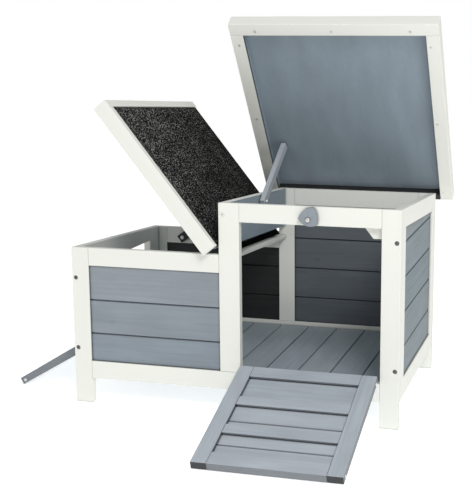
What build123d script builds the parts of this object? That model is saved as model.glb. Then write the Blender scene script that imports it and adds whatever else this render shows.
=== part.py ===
from build123d import *

import os
from math import asin, atan2, cos, degrees, hypot, radians, sin

# A two-room wooden rabbit hutch: a low room on the left and a tower on the right, each under a
# lifting roof on a prop stick, with a fold-down ramp at the front and another on the left side.
# Lengths are millimetres. While modelling, X runs right along the front, Y runs back from the front
# face and Z is up from the ground; the finished pieces are then centred over the origin.

# Cabinet
width = 640.0
depth = 412.0
tower_left = 299.0
low_height = 309.0
tower_height = 406.0
roof_fall = 25.0
foot_height = 50.0

# Frame boards
board_width = 35.0
board_thickness = 15.0
middle_post_width = 40.0
left_stile_width = 48.0
divider_thickness = 8.0
roof_slot = 15.0
side_door_top = 260.0

# Wall planks
plank_thickness = 8.0
plank_pitch = 66.0
first_seam = 140.0
narrowest_plank = 20.0
pocket_depth = 5.0
v_groove = 2.0
tongue_height = 3.0
tongue_thickness = 2.4
tongue_play = 0.2
plank_gap = 0.3

# Floor
floor_drop = 9.0
floor_thickness = 8.0
floor_plank_pitch = 63.0
last_floor_plank = 68.0
batten_width = 15.0

# Ramps
ramp_thickness = 14.5
ramp_edge_gap = 2.5
ramp_foot_gap = 0.3
ramp_stile_width = 28.0
ramp_rail_width = 31.0
ramp_plank_thickness = 7.0
ramp_plank_inset = 2.0
ramp_first_seam = 93.0
tread_width = 24.0
tread_thickness = 5.0
front_treads = (92.0, 173.0)
side_treads = (73.0,)

# Roofs
deck_thickness = 6.0
felt_thickness = 2.0
roof_gap = 0.5
tower_roof_angle = 54.0
tower_rail_height = 27.0
tower_rail_width = 26.0
tower_rail_border = 15.0
tower_rail_lip = 1.0
tower_side_clearance = 8.0
tower_front_overhang = 15.0
tower_back_overhang = 15.5
tower_back_rail_width = 12.0
low_roof_angle = 50.5
low_fascia_height = 29.0
low_fascia_thickness = 15.0
low_fascia_lip = 2.5
low_front_clearance = 3.5
low_back_clearance = 9.5
low_roof_length = 355.5
low_deck_setback = 13.5
low_fascia_setback = 15.0
low_back_rail_height = 16.0
low_felt_flap = 6.0
low_flap_end = 41.0
flap_clearance = 2.0

# Hinges
hinge_offset = 3.0
knuckle_radius = 2.7
knuckle_length = 9.6
knuckle_gap = 0.4
pin_radius = 1.4
running_clearance = 0.05
leaf_width = 16.0
leaf_thickness = 1.2
leaf_step = 3.4
low_leaf_width = 38.0
hinge_inset = 62.0

# Prop sticks
prop_width = 18.0
prop_thickness = 10.0
prop_end = 9.0
prop_bevel = 6.0
prop_wall_gap = 2.0
tower_prop_angle = 33.0
tower_prop_back = 212.0
tower_prop_drop = 26.0
tower_prop_gap = 1.5
low_prop_angle = 36.0
low_prop_left = 77.0
low_prop_drop = 20.0
low_prop_gap = 1.8

# Turn buttons and stop block
button_half_width = 18.0
button_tip = 25.5
button_shoulder = 4.0
button_base = 11.5
button_corner = 2.0
button_thickness = 8.0
button_wall_gap = 1.0
button_angle = 20.0
button_left = 172.5
button_above_edge = 11.5
stop_width = 42.0
stop_height = 36.5
stop_drop = 21.5
stop_chamfer = 17.0
stop_thickness = 9.0

# Screws
pivot_screw_radius = 2.0
pivot_screw_depth = 11.0
pivot_head_radius = 4.2
pivot_head_height = 2.4
screw_radius = 2.0
screw_length = 38.0
screw_head_radius = 4.0
screw_head_height = 2.4
screw_recess = 1.2
screw_play = 0.1
bottom_screw_height = 110.0
top_screw_drop = 60.0
panel_screw_drop = 22.0


def roof_line(front_height, y):
    """Height of the sloping wall tops, which fall towards the back."""
    return front_height - roof_fall * y / depth


def strip(y_front, y_back, low, high):
    return [(y_front, low), (y_back, low), (y_back, high), (y_front, high)]


def upright(y_front, y_back, low, front_height):
    """Side view of a board that stands up to the roof line."""
    return [
        (y_front, low),
        (y_back, low),
        (y_back, roof_line(front_height, y_back)),
        (y_front, roof_line(front_height, y_front)),
    ]


def sloping(y_front, y_back, front_height, below, above=0.0):
    """Side view of a board that runs along the roof line."""
    return [
        (y_front, roof_line(front_height, y_front) - below),
        (y_back, roof_line(front_height, y_back) - below),
        (y_back, roof_line(front_height, y_back) + above),
        (y_front, roof_line(front_height, y_front) + above),
    ]


def slab_x(x_start, x_end, outline, mode=Mode.ADD):
    """A Y-Z outline carried along X."""
    with BuildSketch(Plane.YZ.offset(x_start)) as profile:
        with BuildLine():
            Polyline(*outline, close=True)
        make_face()
    extrude(profile.sketch, amount=x_end - x_start, mode=mode)


def slab_y(y_start, y_end, outline, mode=Mode.ADD):
    """An X-Z outline carried along Y."""
    with BuildSketch(Plane.XZ.offset(-y_start)) as profile:
        with BuildLine():
            Polyline(*outline, close=True)
        make_face()
    extrude(profile.sketch, amount=y_end - y_start, dir=(0, 1, 0), mode=mode)


def block(x_range, y_range, z_range, mode=Mode.ADD):
    """A box between two limits on each axis of the current workplane."""
    low = (x_range[0], y_range[0], z_range[0])
    size = (x_range[1] - x_range[0], y_range[1] - y_range[0], z_range[1] - z_range[0])
    with Locations(low):
        Box(*size, align=(Align.MIN, Align.MIN, Align.MIN), mode=mode)


def screw_bore(position, direction):
    """Clearance for a frame screw and its sunk head, from the outer face inwards."""
    with Locations(Plane(position, z_dir=direction)):
        Cylinder(
            screw_radius + screw_play,
            screw_recess + screw_head_height + screw_length + screw_play,
            align=(Align.CENTER, Align.CENTER, Align.MIN),
            mode=Mode.SUBTRACT,
        )
        Cylinder(
            screw_head_radius + screw_play,
            screw_recess + screw_head_height,
            align=(Align.CENTER, Align.CENTER, Align.MIN),
            mode=Mode.SUBTRACT,
        )


def board(x_start, x_end, outline, pockets=(), screws=()):
    """A frame board, less the pockets that hold planks and the bores that hold screws."""
    with BuildPart() as piece:
        slab_x(x_start, x_end, outline)
        for pocket in pockets:
            slab_x(*pocket, mode=Mode.SUBTRACT)
        for position, direction in screws:
            screw_bore(position, direction)
    return piece


def seams_between(low, high, first, pitch):
    """Plank edges from low to high, with no plank at the top narrower than the narrowest."""
    edges = [low]
    seam = first
    while seam < high - narrowest_plank:
        if seam > low:
            edges.append(seam)
        seam += pitch
    return edges + [high]


def plank_outline(face, back, low, high, grooved, tongued):
    """Cross-section of a V-jointed plank: face and back across its thickness, low to high across it."""
    middle = (face + back) / 2
    half_tongue = tongue_thickness / 2
    half_groove = half_tongue + tongue_play
    groove_top = low + tongue_height + tongue_play - plank_gap
    outline = [(face, low + v_groove), (face + v_groove, low)]
    if grooved:
        outline += [
            (middle - half_groove, low),
            (middle - half_groove, groove_top),
            (middle + half_groove, groove_top),
            (middle + half_groove, low),
        ]
    outline += [
        (back - v_groove, low),
        (back, low + v_groove),
        (back, high - v_groove),
        (back - v_groove, high),
    ]
    if tongued:
        outline += [
            (middle + half_tongue, high),
            (middle + half_tongue, high + tongue_height),
            (middle - half_tongue, high + tongue_height),
            (middle - half_tongue, high),
        ]
    return outline + [(face + v_groove, high), (face, high - v_groove)]


def plank_outlines(face, back, edges):
    """Cross-sections of the planks between a row of edges, a hair apart from each other."""
    outlines = []
    last = len(edges) - 2
    for i in range(last + 1):
        low = edges[i] + (plank_gap / 2 if i > 0 else 0)
        high = edges[i + 1] - (plank_gap / 2 if i < last else 0)
        outlines.append(plank_outline(face, back, low, high, i > 0, i < last))
    return outlines


def wall_planks(x_start, x_end, face, low, high):
    """Planks along X that fill a front or back frame."""
    with BuildPart() as piece:
        for outline in plank_outlines(
            face, face + plank_thickness, seams_between(low, high, first_seam, plank_pitch)
        ):
            slab_x(x_start, x_end, outline)
    return piece


def drive_screw(position, direction):
    """A frame screw with its head sunk below the face."""
    with Locations(Plane(position, z_dir=direction)):
        with Locations((0, 0, screw_recess)):
            Cylinder(
                screw_head_radius, screw_head_height, align=(Align.CENTER, Align.CENTER, Align.MIN)
            )
        with Locations((0, 0, screw_recess + screw_head_height)):
            Cylinder(
                screw_radius, screw_length, align=(Align.CENTER, Align.CENTER, Align.MIN)
            )


def leaf_plane(origin, along, away):
    """Workplane of a hinge leaf: X on the pin, Y along the leaf, Z away from the wood."""
    return Plane(origin, x_dir=Vector(along).cross(Vector(away)), z_dir=away)


def add_leaf(plane, knuckle_centres, seat, reach):
    """One leaf of a butt hinge, lying on wood at the given distance below its pin."""
    length = 3 * knuckle_length + 2 * knuckle_gap
    with BuildPart(plane, mode=Mode.PRIVATE) as leaf:
        plate = (-seat, leaf_thickness - seat)
        block((-length / 2, length / 2), (leaf_step, reach), plate)
        for centre in knuckle_centres:
            low = centre - knuckle_length / 2
            high = centre + knuckle_length / 2
            block((low, high), (0, leaf_step), (-seat, leaf_thickness - knuckle_radius))
            with Locations((centre, 0, 0)):
                Cylinder(knuckle_radius, knuckle_length, rotation=(0, 90, 0))
        Cylinder(
            pin_radius + running_clearance, 2 * length, rotation=(0, 90, 0), mode=Mode.SUBTRACT
        )
    return leaf.part


def hinge_leaves(planes, knuckle_centres, seat, reach=leaf_width):
    with BuildPart() as piece:
        for plane in planes:
            add(add_leaf(plane, knuckle_centres, seat, reach))
    return piece


def spread(start, end):
    """The two hinge places of a joint, set in from its ends."""
    return (start + hinge_inset, end - hinge_inset)


# Heights and planes that several pieces share
rail_top = foot_height + board_width
floor_top = rail_top - floor_drop
back_face = depth - board_thickness
plank_inset = (board_thickness - plank_thickness) / 2
low_back_height = roof_line(low_height, depth)
tower_back_height = roof_line(tower_height, depth)
low_rail_bottom = low_height - board_width
tower_rail_bottom = tower_height - board_width
roof_pitch = atan2(roof_fall, depth)
low_back_rail_bottom = low_back_height - board_width
tower_back_rail_bottom = tower_back_height - board_width
right_post_left = width - board_width
tower_door_left = tower_left + middle_post_width
back_middle_right = tower_left + board_width
tower_wall_right = tower_left + board_thickness
right_wall_left = width - board_thickness
right_door_back = board_thickness + board_width
left_door_front = board_thickness + left_stile_width
left_door_back = back_face - left_stile_width
tower_prop_height = tower_height - tower_prop_drop
low_prop_height = low_back_height - low_prop_drop
outer_knuckles = (-(knuckle_length + knuckle_gap), knuckle_length + knuckle_gap)
middle_knuckle = (0.0,)

# Pockets that hold the wall planks, as X limits and a side view
front_low_pocket = (
    board_width - pocket_depth,
    tower_left + pocket_depth,
    strip(
        plank_inset,
        plank_inset + plank_thickness,
        rail_top - pocket_depth,
        low_rail_bottom + pocket_depth,
    ),
)
back_plank_face = depth - plank_inset - plank_thickness
back_low_pocket = (
    board_width - pocket_depth,
    tower_left + pocket_depth,
    strip(
        back_plank_face,
        back_plank_face + plank_thickness,
        rail_top - pocket_depth,
        low_back_rail_bottom + pocket_depth,
    ),
)
back_tower_pocket = (
    back_middle_right - pocket_depth,
    right_post_left + pocket_depth,
    strip(
        back_plank_face,
        back_plank_face + plank_thickness,
        rail_top - pocket_depth,
        tower_back_rail_bottom + pocket_depth,
    ),
)
right_plank_face = width - plank_inset
right_pocket_front = right_door_back - pocket_depth
right_pocket_back = back_face - board_width + pocket_depth
right_pocket = (
    right_plank_face - plank_thickness,
    right_plank_face,
    [
        (right_pocket_front, rail_top - pocket_depth),
        (right_pocket_back, rail_top - pocket_depth),
        (
            right_pocket_back,
            roof_line(tower_height, right_pocket_back) - board_width + pocket_depth,
        ),
        (
            right_pocket_front,
            roof_line(tower_height, right_pocket_front) - board_width + pocket_depth,
        ),
    ],
)

# Frame screws, driven through the posts into the side walls
front_face = 0.0
inward = (0, 1, 0)
outward = (0, -1, 0)
left_screw_line = board_thickness / 2
tower_screw_line = tower_left + board_thickness / 2
right_screw_line = width - board_thickness / 2
left_front_screws = [
    ((left_screw_line, front_face, z), inward)
    for z in (bottom_screw_height, low_height - top_screw_drop)
]
right_front_screws = [
    ((right_screw_line, front_face, z), inward)
    for z in (bottom_screw_height, tower_height - top_screw_drop)
]
left_back_screws = [
    ((left_screw_line, depth, z), outward)
    for z in (bottom_screw_height, low_back_height - top_screw_drop)
]
right_back_screws = [
    ((right_screw_line, depth, z), outward)
    for z in (bottom_screw_height, tower_back_height - top_screw_drop)
]
panel_front_screw = [
    ((tower_screw_line, front_face, tower_height - panel_screw_drop), inward)
]
panel_back_screw = [
    ((tower_screw_line, depth, tower_back_height - panel_screw_drop), outward)
]
all_screws = left_front_screws + right_front_screws + left_back_screws + right_back_screws
all_screws += panel_front_screw + panel_back_screw

# Front frame
front_left_post = board(
    0,
    board_width,
    upright(0, board_thickness, 0, low_height),
    pockets=[front_low_pocket],
    screws=left_front_screws,
)
front_middle_post = board(
    tower_left,
    tower_door_left,
    upright(0, board_thickness, rail_top, tower_height),
    pockets=[front_low_pocket],
    screws=panel_front_screw,
)
front_right_post = board(
    right_post_left,
    width,
    upright(0, board_thickness, 0, tower_height),
    screws=right_front_screws,
)
front_bottom_rail = board(
    board_width,
    right_post_left,
    strip(0, board_thickness, foot_height, rail_top),
    pockets=[front_low_pocket],
)
front_low_rail = board(
    board_width,
    tower_left,
    upright(0, board_thickness, low_rail_bottom, low_height),
    pockets=[front_low_pocket],
)
button_x = tower_left + button_left
button_z = tower_rail_bottom + button_above_edge
with BuildPart() as front_tower_rail:
    slab_x(
        tower_door_left,
        right_post_left,
        upright(0, board_thickness, tower_rail_bottom, tower_height),
    )
    with Locations(Plane((button_x, 0, button_z), z_dir=inward)):
        Cylinder(
            pivot_screw_radius + running_clearance, 2 * pivot_screw_depth, mode=Mode.SUBTRACT
        )
front_low_planks = wall_planks(
    front_low_pocket[0],
    front_low_pocket[1],
    plank_inset,
    rail_top - pocket_depth,
    low_rail_bottom + pocket_depth,
)

# Back frame
back_left_post = board(
    0,
    board_width,
    upright(back_face, depth, 0, low_height),
    pockets=[back_low_pocket],
    screws=left_back_screws,
)
back_middle_post = board(
    tower_left,
    back_middle_right,
    upright(back_face, depth, rail_top, tower_height),
    pockets=[back_low_pocket, back_tower_pocket],
    screws=panel_back_screw,
)
back_right_post = board(
    right_post_left,
    width,
    upright(back_face, depth, 0, tower_height),
    pockets=[back_tower_pocket],
    screws=right_back_screws,
)
back_bottom_rail = board(
    board_width,
    right_post_left,
    strip(back_face, depth, foot_height, rail_top),
    pockets=[back_low_pocket, back_tower_pocket],
)
with BuildPart() as back_low_rail:
    slab_x(
        board_width, tower_left, upright(back_face, depth, low_back_rail_bottom, low_height)
    )
    slab_x(*back_low_pocket, mode=Mode.SUBTRACT)
    with Locations(Plane((low_prop_left, back_face, low_prop_height), z_dir=inward)):
        Cylinder(
            pivot_screw_radius + running_clearance, 2 * pivot_screw_depth, mode=Mode.SUBTRACT
        )
back_tower_rail = board(
    back_middle_right,
    right_post_left,
    upright(back_face, depth, tower_back_rail_bottom, tower_height),
    pockets=[back_tower_pocket],
)
back_low_planks = wall_planks(
    back_low_pocket[0],
    back_low_pocket[1],
    back_plank_face,
    rail_top - pocket_depth,
    low_back_rail_bottom + pocket_depth,
)
back_tower_planks = wall_planks(
    back_tower_pocket[0],
    back_tower_pocket[1],
    back_plank_face,
    rail_top - pocket_depth,
    tower_back_rail_bottom + pocket_depth,
)

# Right side frame
right_front_stile = board(
    right_wall_left,
    width,
    upright(board_thickness, right_door_back, foot_height, tower_height),
    pockets=[right_pocket],
    screws=right_front_screws,
)
right_back_stile = board(
    right_wall_left,
    width,
    upright(back_face - board_width, back_face, foot_height, tower_height),
    pockets=[right_pocket],
    screws=right_back_screws,
)
right_top_rail = board(
    right_wall_left,
    width,
    sloping(right_door_back, back_face - board_width, tower_height, board_width),
    pockets=[right_pocket],
)
right_bottom_rail = board(
    right_wall_left,
    width,
    strip(right_door_back, back_face - board_width, foot_height, rail_top),
    pockets=[right_pocket],
)
with BuildPart() as right_planks:
    for outline in plank_outlines(
        right_plank_face - plank_thickness,
        right_plank_face,
        seams_between(rail_top - pocket_depth, tower_height, first_seam, plank_pitch),
    ):
        slab_y(right_pocket_front, right_pocket_back, outline)
    slab_x(*right_pocket, mode=Mode.INTERSECT)

# Left side frame, open for the side ramp
left_front_stile = board(
    0,
    board_thickness,
    upright(board_thickness, left_door_front, foot_height, low_height),
    screws=left_front_screws,
)
left_back_stile = board(
    0,
    board_thickness,
    upright(left_door_back, back_face, foot_height, low_height),
    screws=left_back_screws,
)
left_bottom_rail = board(
    0, board_thickness, strip(left_door_front, left_door_back, foot_height, rail_top)
)
side_button_y = depth / 2
side_button_z = side_door_top + button_above_edge
with BuildPart() as left_top_rail:
    slab_x(
        0, board_thickness, upright(left_door_front, left_door_back, side_door_top, low_height)
    )
    with Locations(Plane((0, side_button_y, side_button_z), z_dir=(1, 0, 0))):
        Cylinder(
            pivot_screw_radius + running_clearance, 2 * pivot_screw_depth, mode=Mode.SUBTRACT
        )

# Wall between the rooms: a flat rail, a slot for the low roof's felt, and a panel above
divider_rail = board(
    tower_wall_right - board_width,
    tower_wall_right,
    sloping(
        board_thickness,
        back_face,
        low_height - 2 * hinge_offset / cos(roof_pitch),
        divider_thickness,
    ),
)
with BuildPart() as tower_left_panel:
    slab_x(
        tower_left,
        tower_wall_right,
        [
            (board_thickness, roof_line(low_height, board_thickness) + roof_slot),
            (back_face, roof_line(low_height, back_face) + roof_slot),
            (back_face, roof_line(tower_height, back_face)),
            (board_thickness, roof_line(tower_height, board_thickness)),
        ],
    )
    with Locations(
        Plane((tower_wall_right, tower_prop_back, tower_prop_height), z_dir=(1, 0, 0))
    ):
        Cylinder(
            pivot_screw_radius + running_clearance, 2 * pivot_screw_depth, mode=Mode.SUBTRACT
        )
    for position, direction in panel_front_screw + panel_back_screw:
        screw_bore(position, direction)

# Floor planks on two battens
floor_low = floor_top - floor_thickness
with BuildPart() as floor_planks:
    seams = [right_wall_left]
    next_seam = right_wall_left - last_floor_plank
    while next_seam > board_thickness + narrowest_plank:
        seams.append(next_seam)
        next_seam -= floor_plank_pitch
    seams.append(board_thickness)
    for outline in plank_outlines(floor_low, floor_top, seams[::-1]):
        slab_y(board_thickness, back_face, [(along, up) for up, along in outline])
with BuildPart() as floor_battens:
    for front in (board_thickness, back_face - batten_width):
        block(
            (board_thickness, right_wall_left),
            (front, front + batten_width),
            (foot_height, floor_low),
        )

# Stop block in the corner behind the front doorway
with BuildPart() as door_stop:
    stop_right = right_post_left + (stop_width - board_width)
    stop_left = stop_right - stop_width
    stop_low = tower_rail_bottom - stop_drop
    slab_y(
        board_thickness,
        board_thickness + stop_thickness,
        [
            (stop_left + stop_chamfer, stop_low),
            (stop_right, stop_low),
            (stop_right, stop_low + stop_height),
            (stop_left, stop_low + stop_height),
            (stop_left, stop_low + stop_drop),
        ],
    )


def ramp_slope(length):
    """Slope at which a lowered ramp's outer face meets the ground."""
    reach = length + ramp_edge_gap / 2
    drop = rail_top - ramp_foot_gap
    return asin(drop / hypot(reach, hinge_offset)) + atan2(hinge_offset, reach)


def ramp_pieces(plane, ramp_width, length, treads):
    """Stiles, rails, planks and treads of a ramp, on a workplane whose Y climbs to its hinge."""
    half = ramp_width / 2
    start = -ramp_edge_gap / 2
    end = start - length
    faces = (hinge_offset, hinge_offset + ramp_thickness)
    plank_low = hinge_offset + ramp_plank_inset
    plank_high = plank_low + ramp_plank_thickness
    top_edge = start - ramp_rail_width
    bottom_edge = end + ramp_rail_width
    inner = half - ramp_stile_width
    pocket = (
        (-inner - pocket_depth, inner + pocket_depth),
        (bottom_edge - pocket_depth, top_edge + pocket_depth),
        (plank_low, plank_high),
    )
    with BuildPart(plane) as stiles:
        block((-half, -inner), (end, start), faces)
        block((inner, half), (end, start), faces)
        block(*pocket, mode=Mode.SUBTRACT)
    with BuildPart(plane) as rails:
        block((-inner, inner), (top_edge, start), faces)
        block((-inner, inner), (end, bottom_edge), faces)
        block(*pocket, mode=Mode.SUBTRACT)
    first = start - ramp_first_seam
    edges = [pocket[1][1]]
    while first > pocket[1][0] + narrowest_plank:
        edges.append(first)
        first -= plank_pitch
    edges.append(pocket[1][0])
    end_on = Plane(
        plane.origin + plane.x_dir * pocket[0][0], x_dir=plane.y_dir, z_dir=plane.x_dir
    )
    with BuildPart() as planks:
        for outline in plank_outlines(plank_low, plank_high, edges[::-1]):
            with BuildSketch(end_on) as profile:
                with BuildLine():
                    Polyline(*[(along, up) for up, along in outline], close=True)
                make_face()
            extrude(profile.sketch, amount=pocket[0][1] - pocket[0][0])
    with BuildPart(plane) as steps:
        for distance in treads:
            block(
                (-inner, inner),
                (start - distance - tread_width, start - distance),
                (plank_high, plank_high + tread_thickness),
            )
    return stiles, rails, planks, steps


# Front ramp, hinged on the front of the bottom rail
front_ramp_left = tower_door_left + ramp_edge_gap
front_ramp_right = right_post_left - ramp_edge_gap
front_ramp_length = tower_rail_bottom - rail_top - 2 * ramp_edge_gap
front_slope = ramp_slope(front_ramp_length)
front_ramp_axis = (
    (front_ramp_left + front_ramp_right) / 2,
    -hinge_offset,
    rail_top + ramp_edge_gap / 2,
)
front_ramp_up = (0, -sin(front_slope), cos(front_slope))
front_ramp_down = (0, -cos(front_slope), -sin(front_slope))
front_ramp_plane = Plane(front_ramp_axis, x_dir=(1, 0, 0), z_dir=front_ramp_up)
front_ramp_stiles, front_ramp_rails, front_ramp_planks, front_ramp_treads = ramp_pieces(
    front_ramp_plane, front_ramp_right - front_ramp_left, front_ramp_length, front_treads
)
front_ramp_hinges = [
    (x, -hinge_offset, front_ramp_axis[2]) for x in spread(front_ramp_left, front_ramp_right)
]
front_ramp_leaves = hinge_leaves(
    [leaf_plane(o, front_ramp_down, -Vector(front_ramp_up)) for o in front_ramp_hinges],
    middle_knuckle,
    hinge_offset,
)

# Side ramp, hinged on the outside of the left bottom rail
side_ramp_front = left_door_front + ramp_edge_gap
side_ramp_back = left_door_back - ramp_edge_gap
side_ramp_length = side_door_top - rail_top - 2 * ramp_edge_gap
side_slope = ramp_slope(side_ramp_length)
side_ramp_axis = (
    -hinge_offset,
    (side_ramp_front + side_ramp_back) / 2,
    rail_top + ramp_edge_gap / 2,
)
side_ramp_up = (-sin(side_slope), 0, cos(side_slope))
side_ramp_down = (-cos(side_slope), 0, -sin(side_slope))
side_ramp_plane = Plane(side_ramp_axis, x_dir=(0, -1, 0), z_dir=side_ramp_up)
side_ramp_stiles, side_ramp_rails, side_ramp_planks, side_ramp_treads = ramp_pieces(
    side_ramp_plane, side_ramp_back - side_ramp_front, side_ramp_length, side_treads
)
side_ramp_hinges = [
    (-hinge_offset, y, side_ramp_axis[2]) for y in spread(side_ramp_front, side_ramp_back)
]
side_ramp_leaves = hinge_leaves(
    [leaf_plane(o, side_ramp_down, -Vector(side_ramp_up)) for o in side_ramp_hinges],
    middle_knuckle,
    hinge_offset,
)

# Tower roof: three rebated rails round a felted deck, and a felt-covered rail at the hinge
tower_angle = radians(tower_roof_angle)
tower_roof_axis = (0, depth + hinge_offset, tower_back_height - hinge_offset)
tower_roof_up = (0, sin(tower_angle), cos(tower_angle))
tower_roof_back = (0, cos(tower_angle), -sin(tower_angle))
tower_roof_plane = Plane(tower_roof_axis, x_dir=(1, 0, 0), z_dir=tower_roof_up)
tower_rail_low = hinge_offset + roof_gap
tower_rail_high = tower_rail_low + tower_rail_height
tower_felt_high = tower_rail_high - tower_rail_lip
tower_deck_high = tower_felt_high - felt_thickness
tower_deck_low = tower_deck_high - deck_thickness
tower_roof_left = tower_left - tower_side_clearance - tower_rail_width
tower_roof_right = width + tower_side_clearance + tower_rail_width
tower_front_outer = -(depth + hinge_offset + tower_front_overhang)
tower_front_inner = tower_front_outer + tower_rail_width
tower_back_end = hinge_offset + tower_back_overhang
tower_deck_back = tower_back_end - felt_thickness
tower_deck_sides = (tower_roof_left + tower_rail_border, tower_roof_right - tower_rail_border)
tower_deck_front = tower_front_outer + tower_rail_border
tower_between_rails = (tower_roof_left + tower_rail_width, tower_roof_right - tower_rail_width)
tower_rail_faces = (tower_rail_low, tower_rail_high)
tower_side_run = (tower_front_inner, tower_back_end)
tower_rebate = (
    tower_deck_sides,
    (tower_deck_front, tower_back_end),
    (tower_deck_low, tower_rail_high),
)
with BuildPart(tower_roof_plane) as tower_roof_front_rail:
    block(
        (tower_roof_left, tower_roof_right),
        (tower_front_outer, tower_front_inner),
        tower_rail_faces,
    )
    block(*tower_rebate, mode=Mode.SUBTRACT)
with BuildPart(tower_roof_plane) as tower_roof_left_rail:
    block((tower_roof_left, tower_between_rails[0]), tower_side_run, tower_rail_faces)
    block(*tower_rebate, mode=Mode.SUBTRACT)
with BuildPart(tower_roof_plane) as tower_roof_right_rail:
    block((tower_between_rails[1], tower_roof_right), tower_side_run, tower_rail_faces)
    block(*tower_rebate, mode=Mode.SUBTRACT)
with BuildPart(tower_roof_plane) as tower_roof_back_rail:
    block(
        tower_between_rails,
        (tower_deck_back - tower_back_rail_width, tower_deck_back),
        (tower_rail_low, tower_deck_low),
    )
with BuildPart(tower_roof_plane) as tower_roof_deck:
    block(
        tower_deck_sides, (tower_deck_front, tower_deck_back), (tower_deck_low, tower_deck_high)
    )
with BuildPart(tower_roof_plane) as tower_roof_felt:
    block(
        tower_deck_sides, (tower_deck_front, tower_back_end), (tower_deck_high, tower_felt_high)
    )
    block(
        tower_deck_sides, (tower_deck_back, tower_back_end), (tower_deck_low, tower_deck_high)
    )
    block(
        tower_between_rails, (tower_deck_back, tower_back_end), (tower_rail_low, tower_deck_low)
    )
tower_roof_hinges = [
    (x, tower_roof_axis[1], tower_roof_axis[2]) for x in spread(tower_left, width)
]
tower_roof_leaves = hinge_leaves(
    [leaf_plane(o, tower_roof_back, -Vector(tower_roof_up)) for o in tower_roof_hinges],
    middle_knuckle,
    hinge_offset + roof_gap,
)

# Low roof: front and left fascias round a felted deck, hinged on the divider rail
low_opening = radians(low_roof_angle)
ridge = Vector(0, cos(roof_pitch), -sin(roof_pitch))
roof_normal = Vector(0, sin(roof_pitch), cos(roof_pitch))
to_right = Vector(1, 0, 0)
low_roof_axis = Vector(tower_left - hinge_offset, 0, low_height) - roof_normal * hinge_offset
low_roof_in = to_right * cos(low_opening) - roof_normal * sin(low_opening)
low_roof_up = roof_normal * cos(low_opening) + to_right * sin(low_opening)
low_roof_plane = Plane(low_roof_axis, x_dir=low_roof_in, z_dir=low_roof_up)
low_deck_low = hinge_offset + roof_gap
low_deck_high = low_deck_low + deck_thickness
low_felt_high = low_deck_high + felt_thickness
low_fascia_high = low_felt_high + low_fascia_lip
low_fascia_low = low_fascia_high - low_fascia_height
low_fascia_faces = (low_fascia_low, low_fascia_high)
low_front_inner = -low_front_clearance
low_front_outer = low_front_inner - low_fascia_thickness
low_back_inner = depth / cos(roof_pitch) + low_back_clearance
low_back_outer = low_back_inner + low_fascia_thickness
low_left_outer = -low_roof_length
low_left_inner = low_left_outer + low_fascia_thickness
with BuildPart(low_roof_plane) as low_roof_front_fascia:
    block(
        (low_left_outer, -low_fascia_setback), (low_front_outer, low_front_inner), low_fascia_faces
    )
with BuildPart(low_roof_plane) as low_roof_left_fascia:
    block(
        (low_left_outer, low_left_inner), (low_front_inner, low_back_outer), low_fascia_faces
    )
low_deck_limits = ((low_left_inner, -low_deck_setback), (low_front_inner, low_back_outer))
with BuildPart(low_roof_plane) as low_roof_deck:
    block(*low_deck_limits, (low_deck_low, low_deck_high))
with BuildPart(low_roof_plane) as low_roof_felt:
    block(*low_deck_limits, (low_deck_high, low_felt_high))
    block(
        (-low_deck_setback, low_felt_flap),
        (board_thickness + flap_clearance, depth - low_flap_end),
        (low_deck_high, low_felt_high),
    )
with BuildPart(low_roof_plane) as low_roof_back_rail:
    block(
        (low_left_inner, -low_fascia_setback),
        (low_back_inner, low_back_outer),
        (low_deck_low - low_back_rail_height, low_deck_low),
    )
low_roof_hinges = [low_roof_axis + ridge * y for y in spread(0, depth)]
low_roof_leaves = hinge_leaves(
    [leaf_plane(o, -low_roof_in, -low_roof_up) for o in low_roof_hinges],
    middle_knuckle,
    hinge_offset + roof_gap,
    low_leaf_width,
)

# The hinge leaves that stay on the cabinet, and all the pins
down = Vector(0, 0, -1)
cabinet_leaf_planes = [leaf_plane(o, down, outward) for o in front_ramp_hinges]
cabinet_leaf_planes += [leaf_plane(o, down, (-1, 0, 0)) for o in side_ramp_hinges]
cabinet_leaf_planes += [leaf_plane(o, down, inward) for o in tower_roof_hinges]
cabinet_leaf_planes += [leaf_plane(o, (-1, 0, 0), roof_normal) for o in low_roof_hinges]
cabinet_leaves = hinge_leaves(cabinet_leaf_planes, outer_knuckles, hinge_offset)
with BuildPart() as hinge_pins:
    for plane in cabinet_leaf_planes:
        with Locations(plane):
            Cylinder(pin_radius, 3 * knuckle_length + 2 * knuckle_gap, rotation=(0, 90, 0))


def prop_stick(pivot, lean_direction, axis, plane, deck_low, gap):
    """A prop from its pivot screw to just under the deck, with its upper corner cut off."""
    stick_plane = Plane(pivot, x_dir=lean_direction, z_dir=axis)
    half = prop_width / 2
    up = plane.z_dir
    below_deck = deck_low - gap - (Vector(pivot) - plane.origin).dot(up)
    length = (below_deck + half * stick_plane.y_dir.dot(up)) / stick_plane.x_dir.dot(up)
    with BuildPart(stick_plane) as stick:
        with BuildSketch(stick_plane):
            with BuildLine():
                Polyline(
                    (-prop_end, -half),
                    (length, -half),
                    (length - prop_bevel, half),
                    (-prop_end, half),
                    close=True,
                )
            make_face()
        extrude(amount=prop_thickness / 2, both=True)
        Cylinder(
            pivot_screw_radius + running_clearance, 2 * prop_thickness, mode=Mode.SUBTRACT
        )
    return stick


def prop_direction(lean, forward):
    return Vector(forward) * cos(radians(lean)) + Vector(0, 0, 1) * sin(radians(lean))


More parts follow.
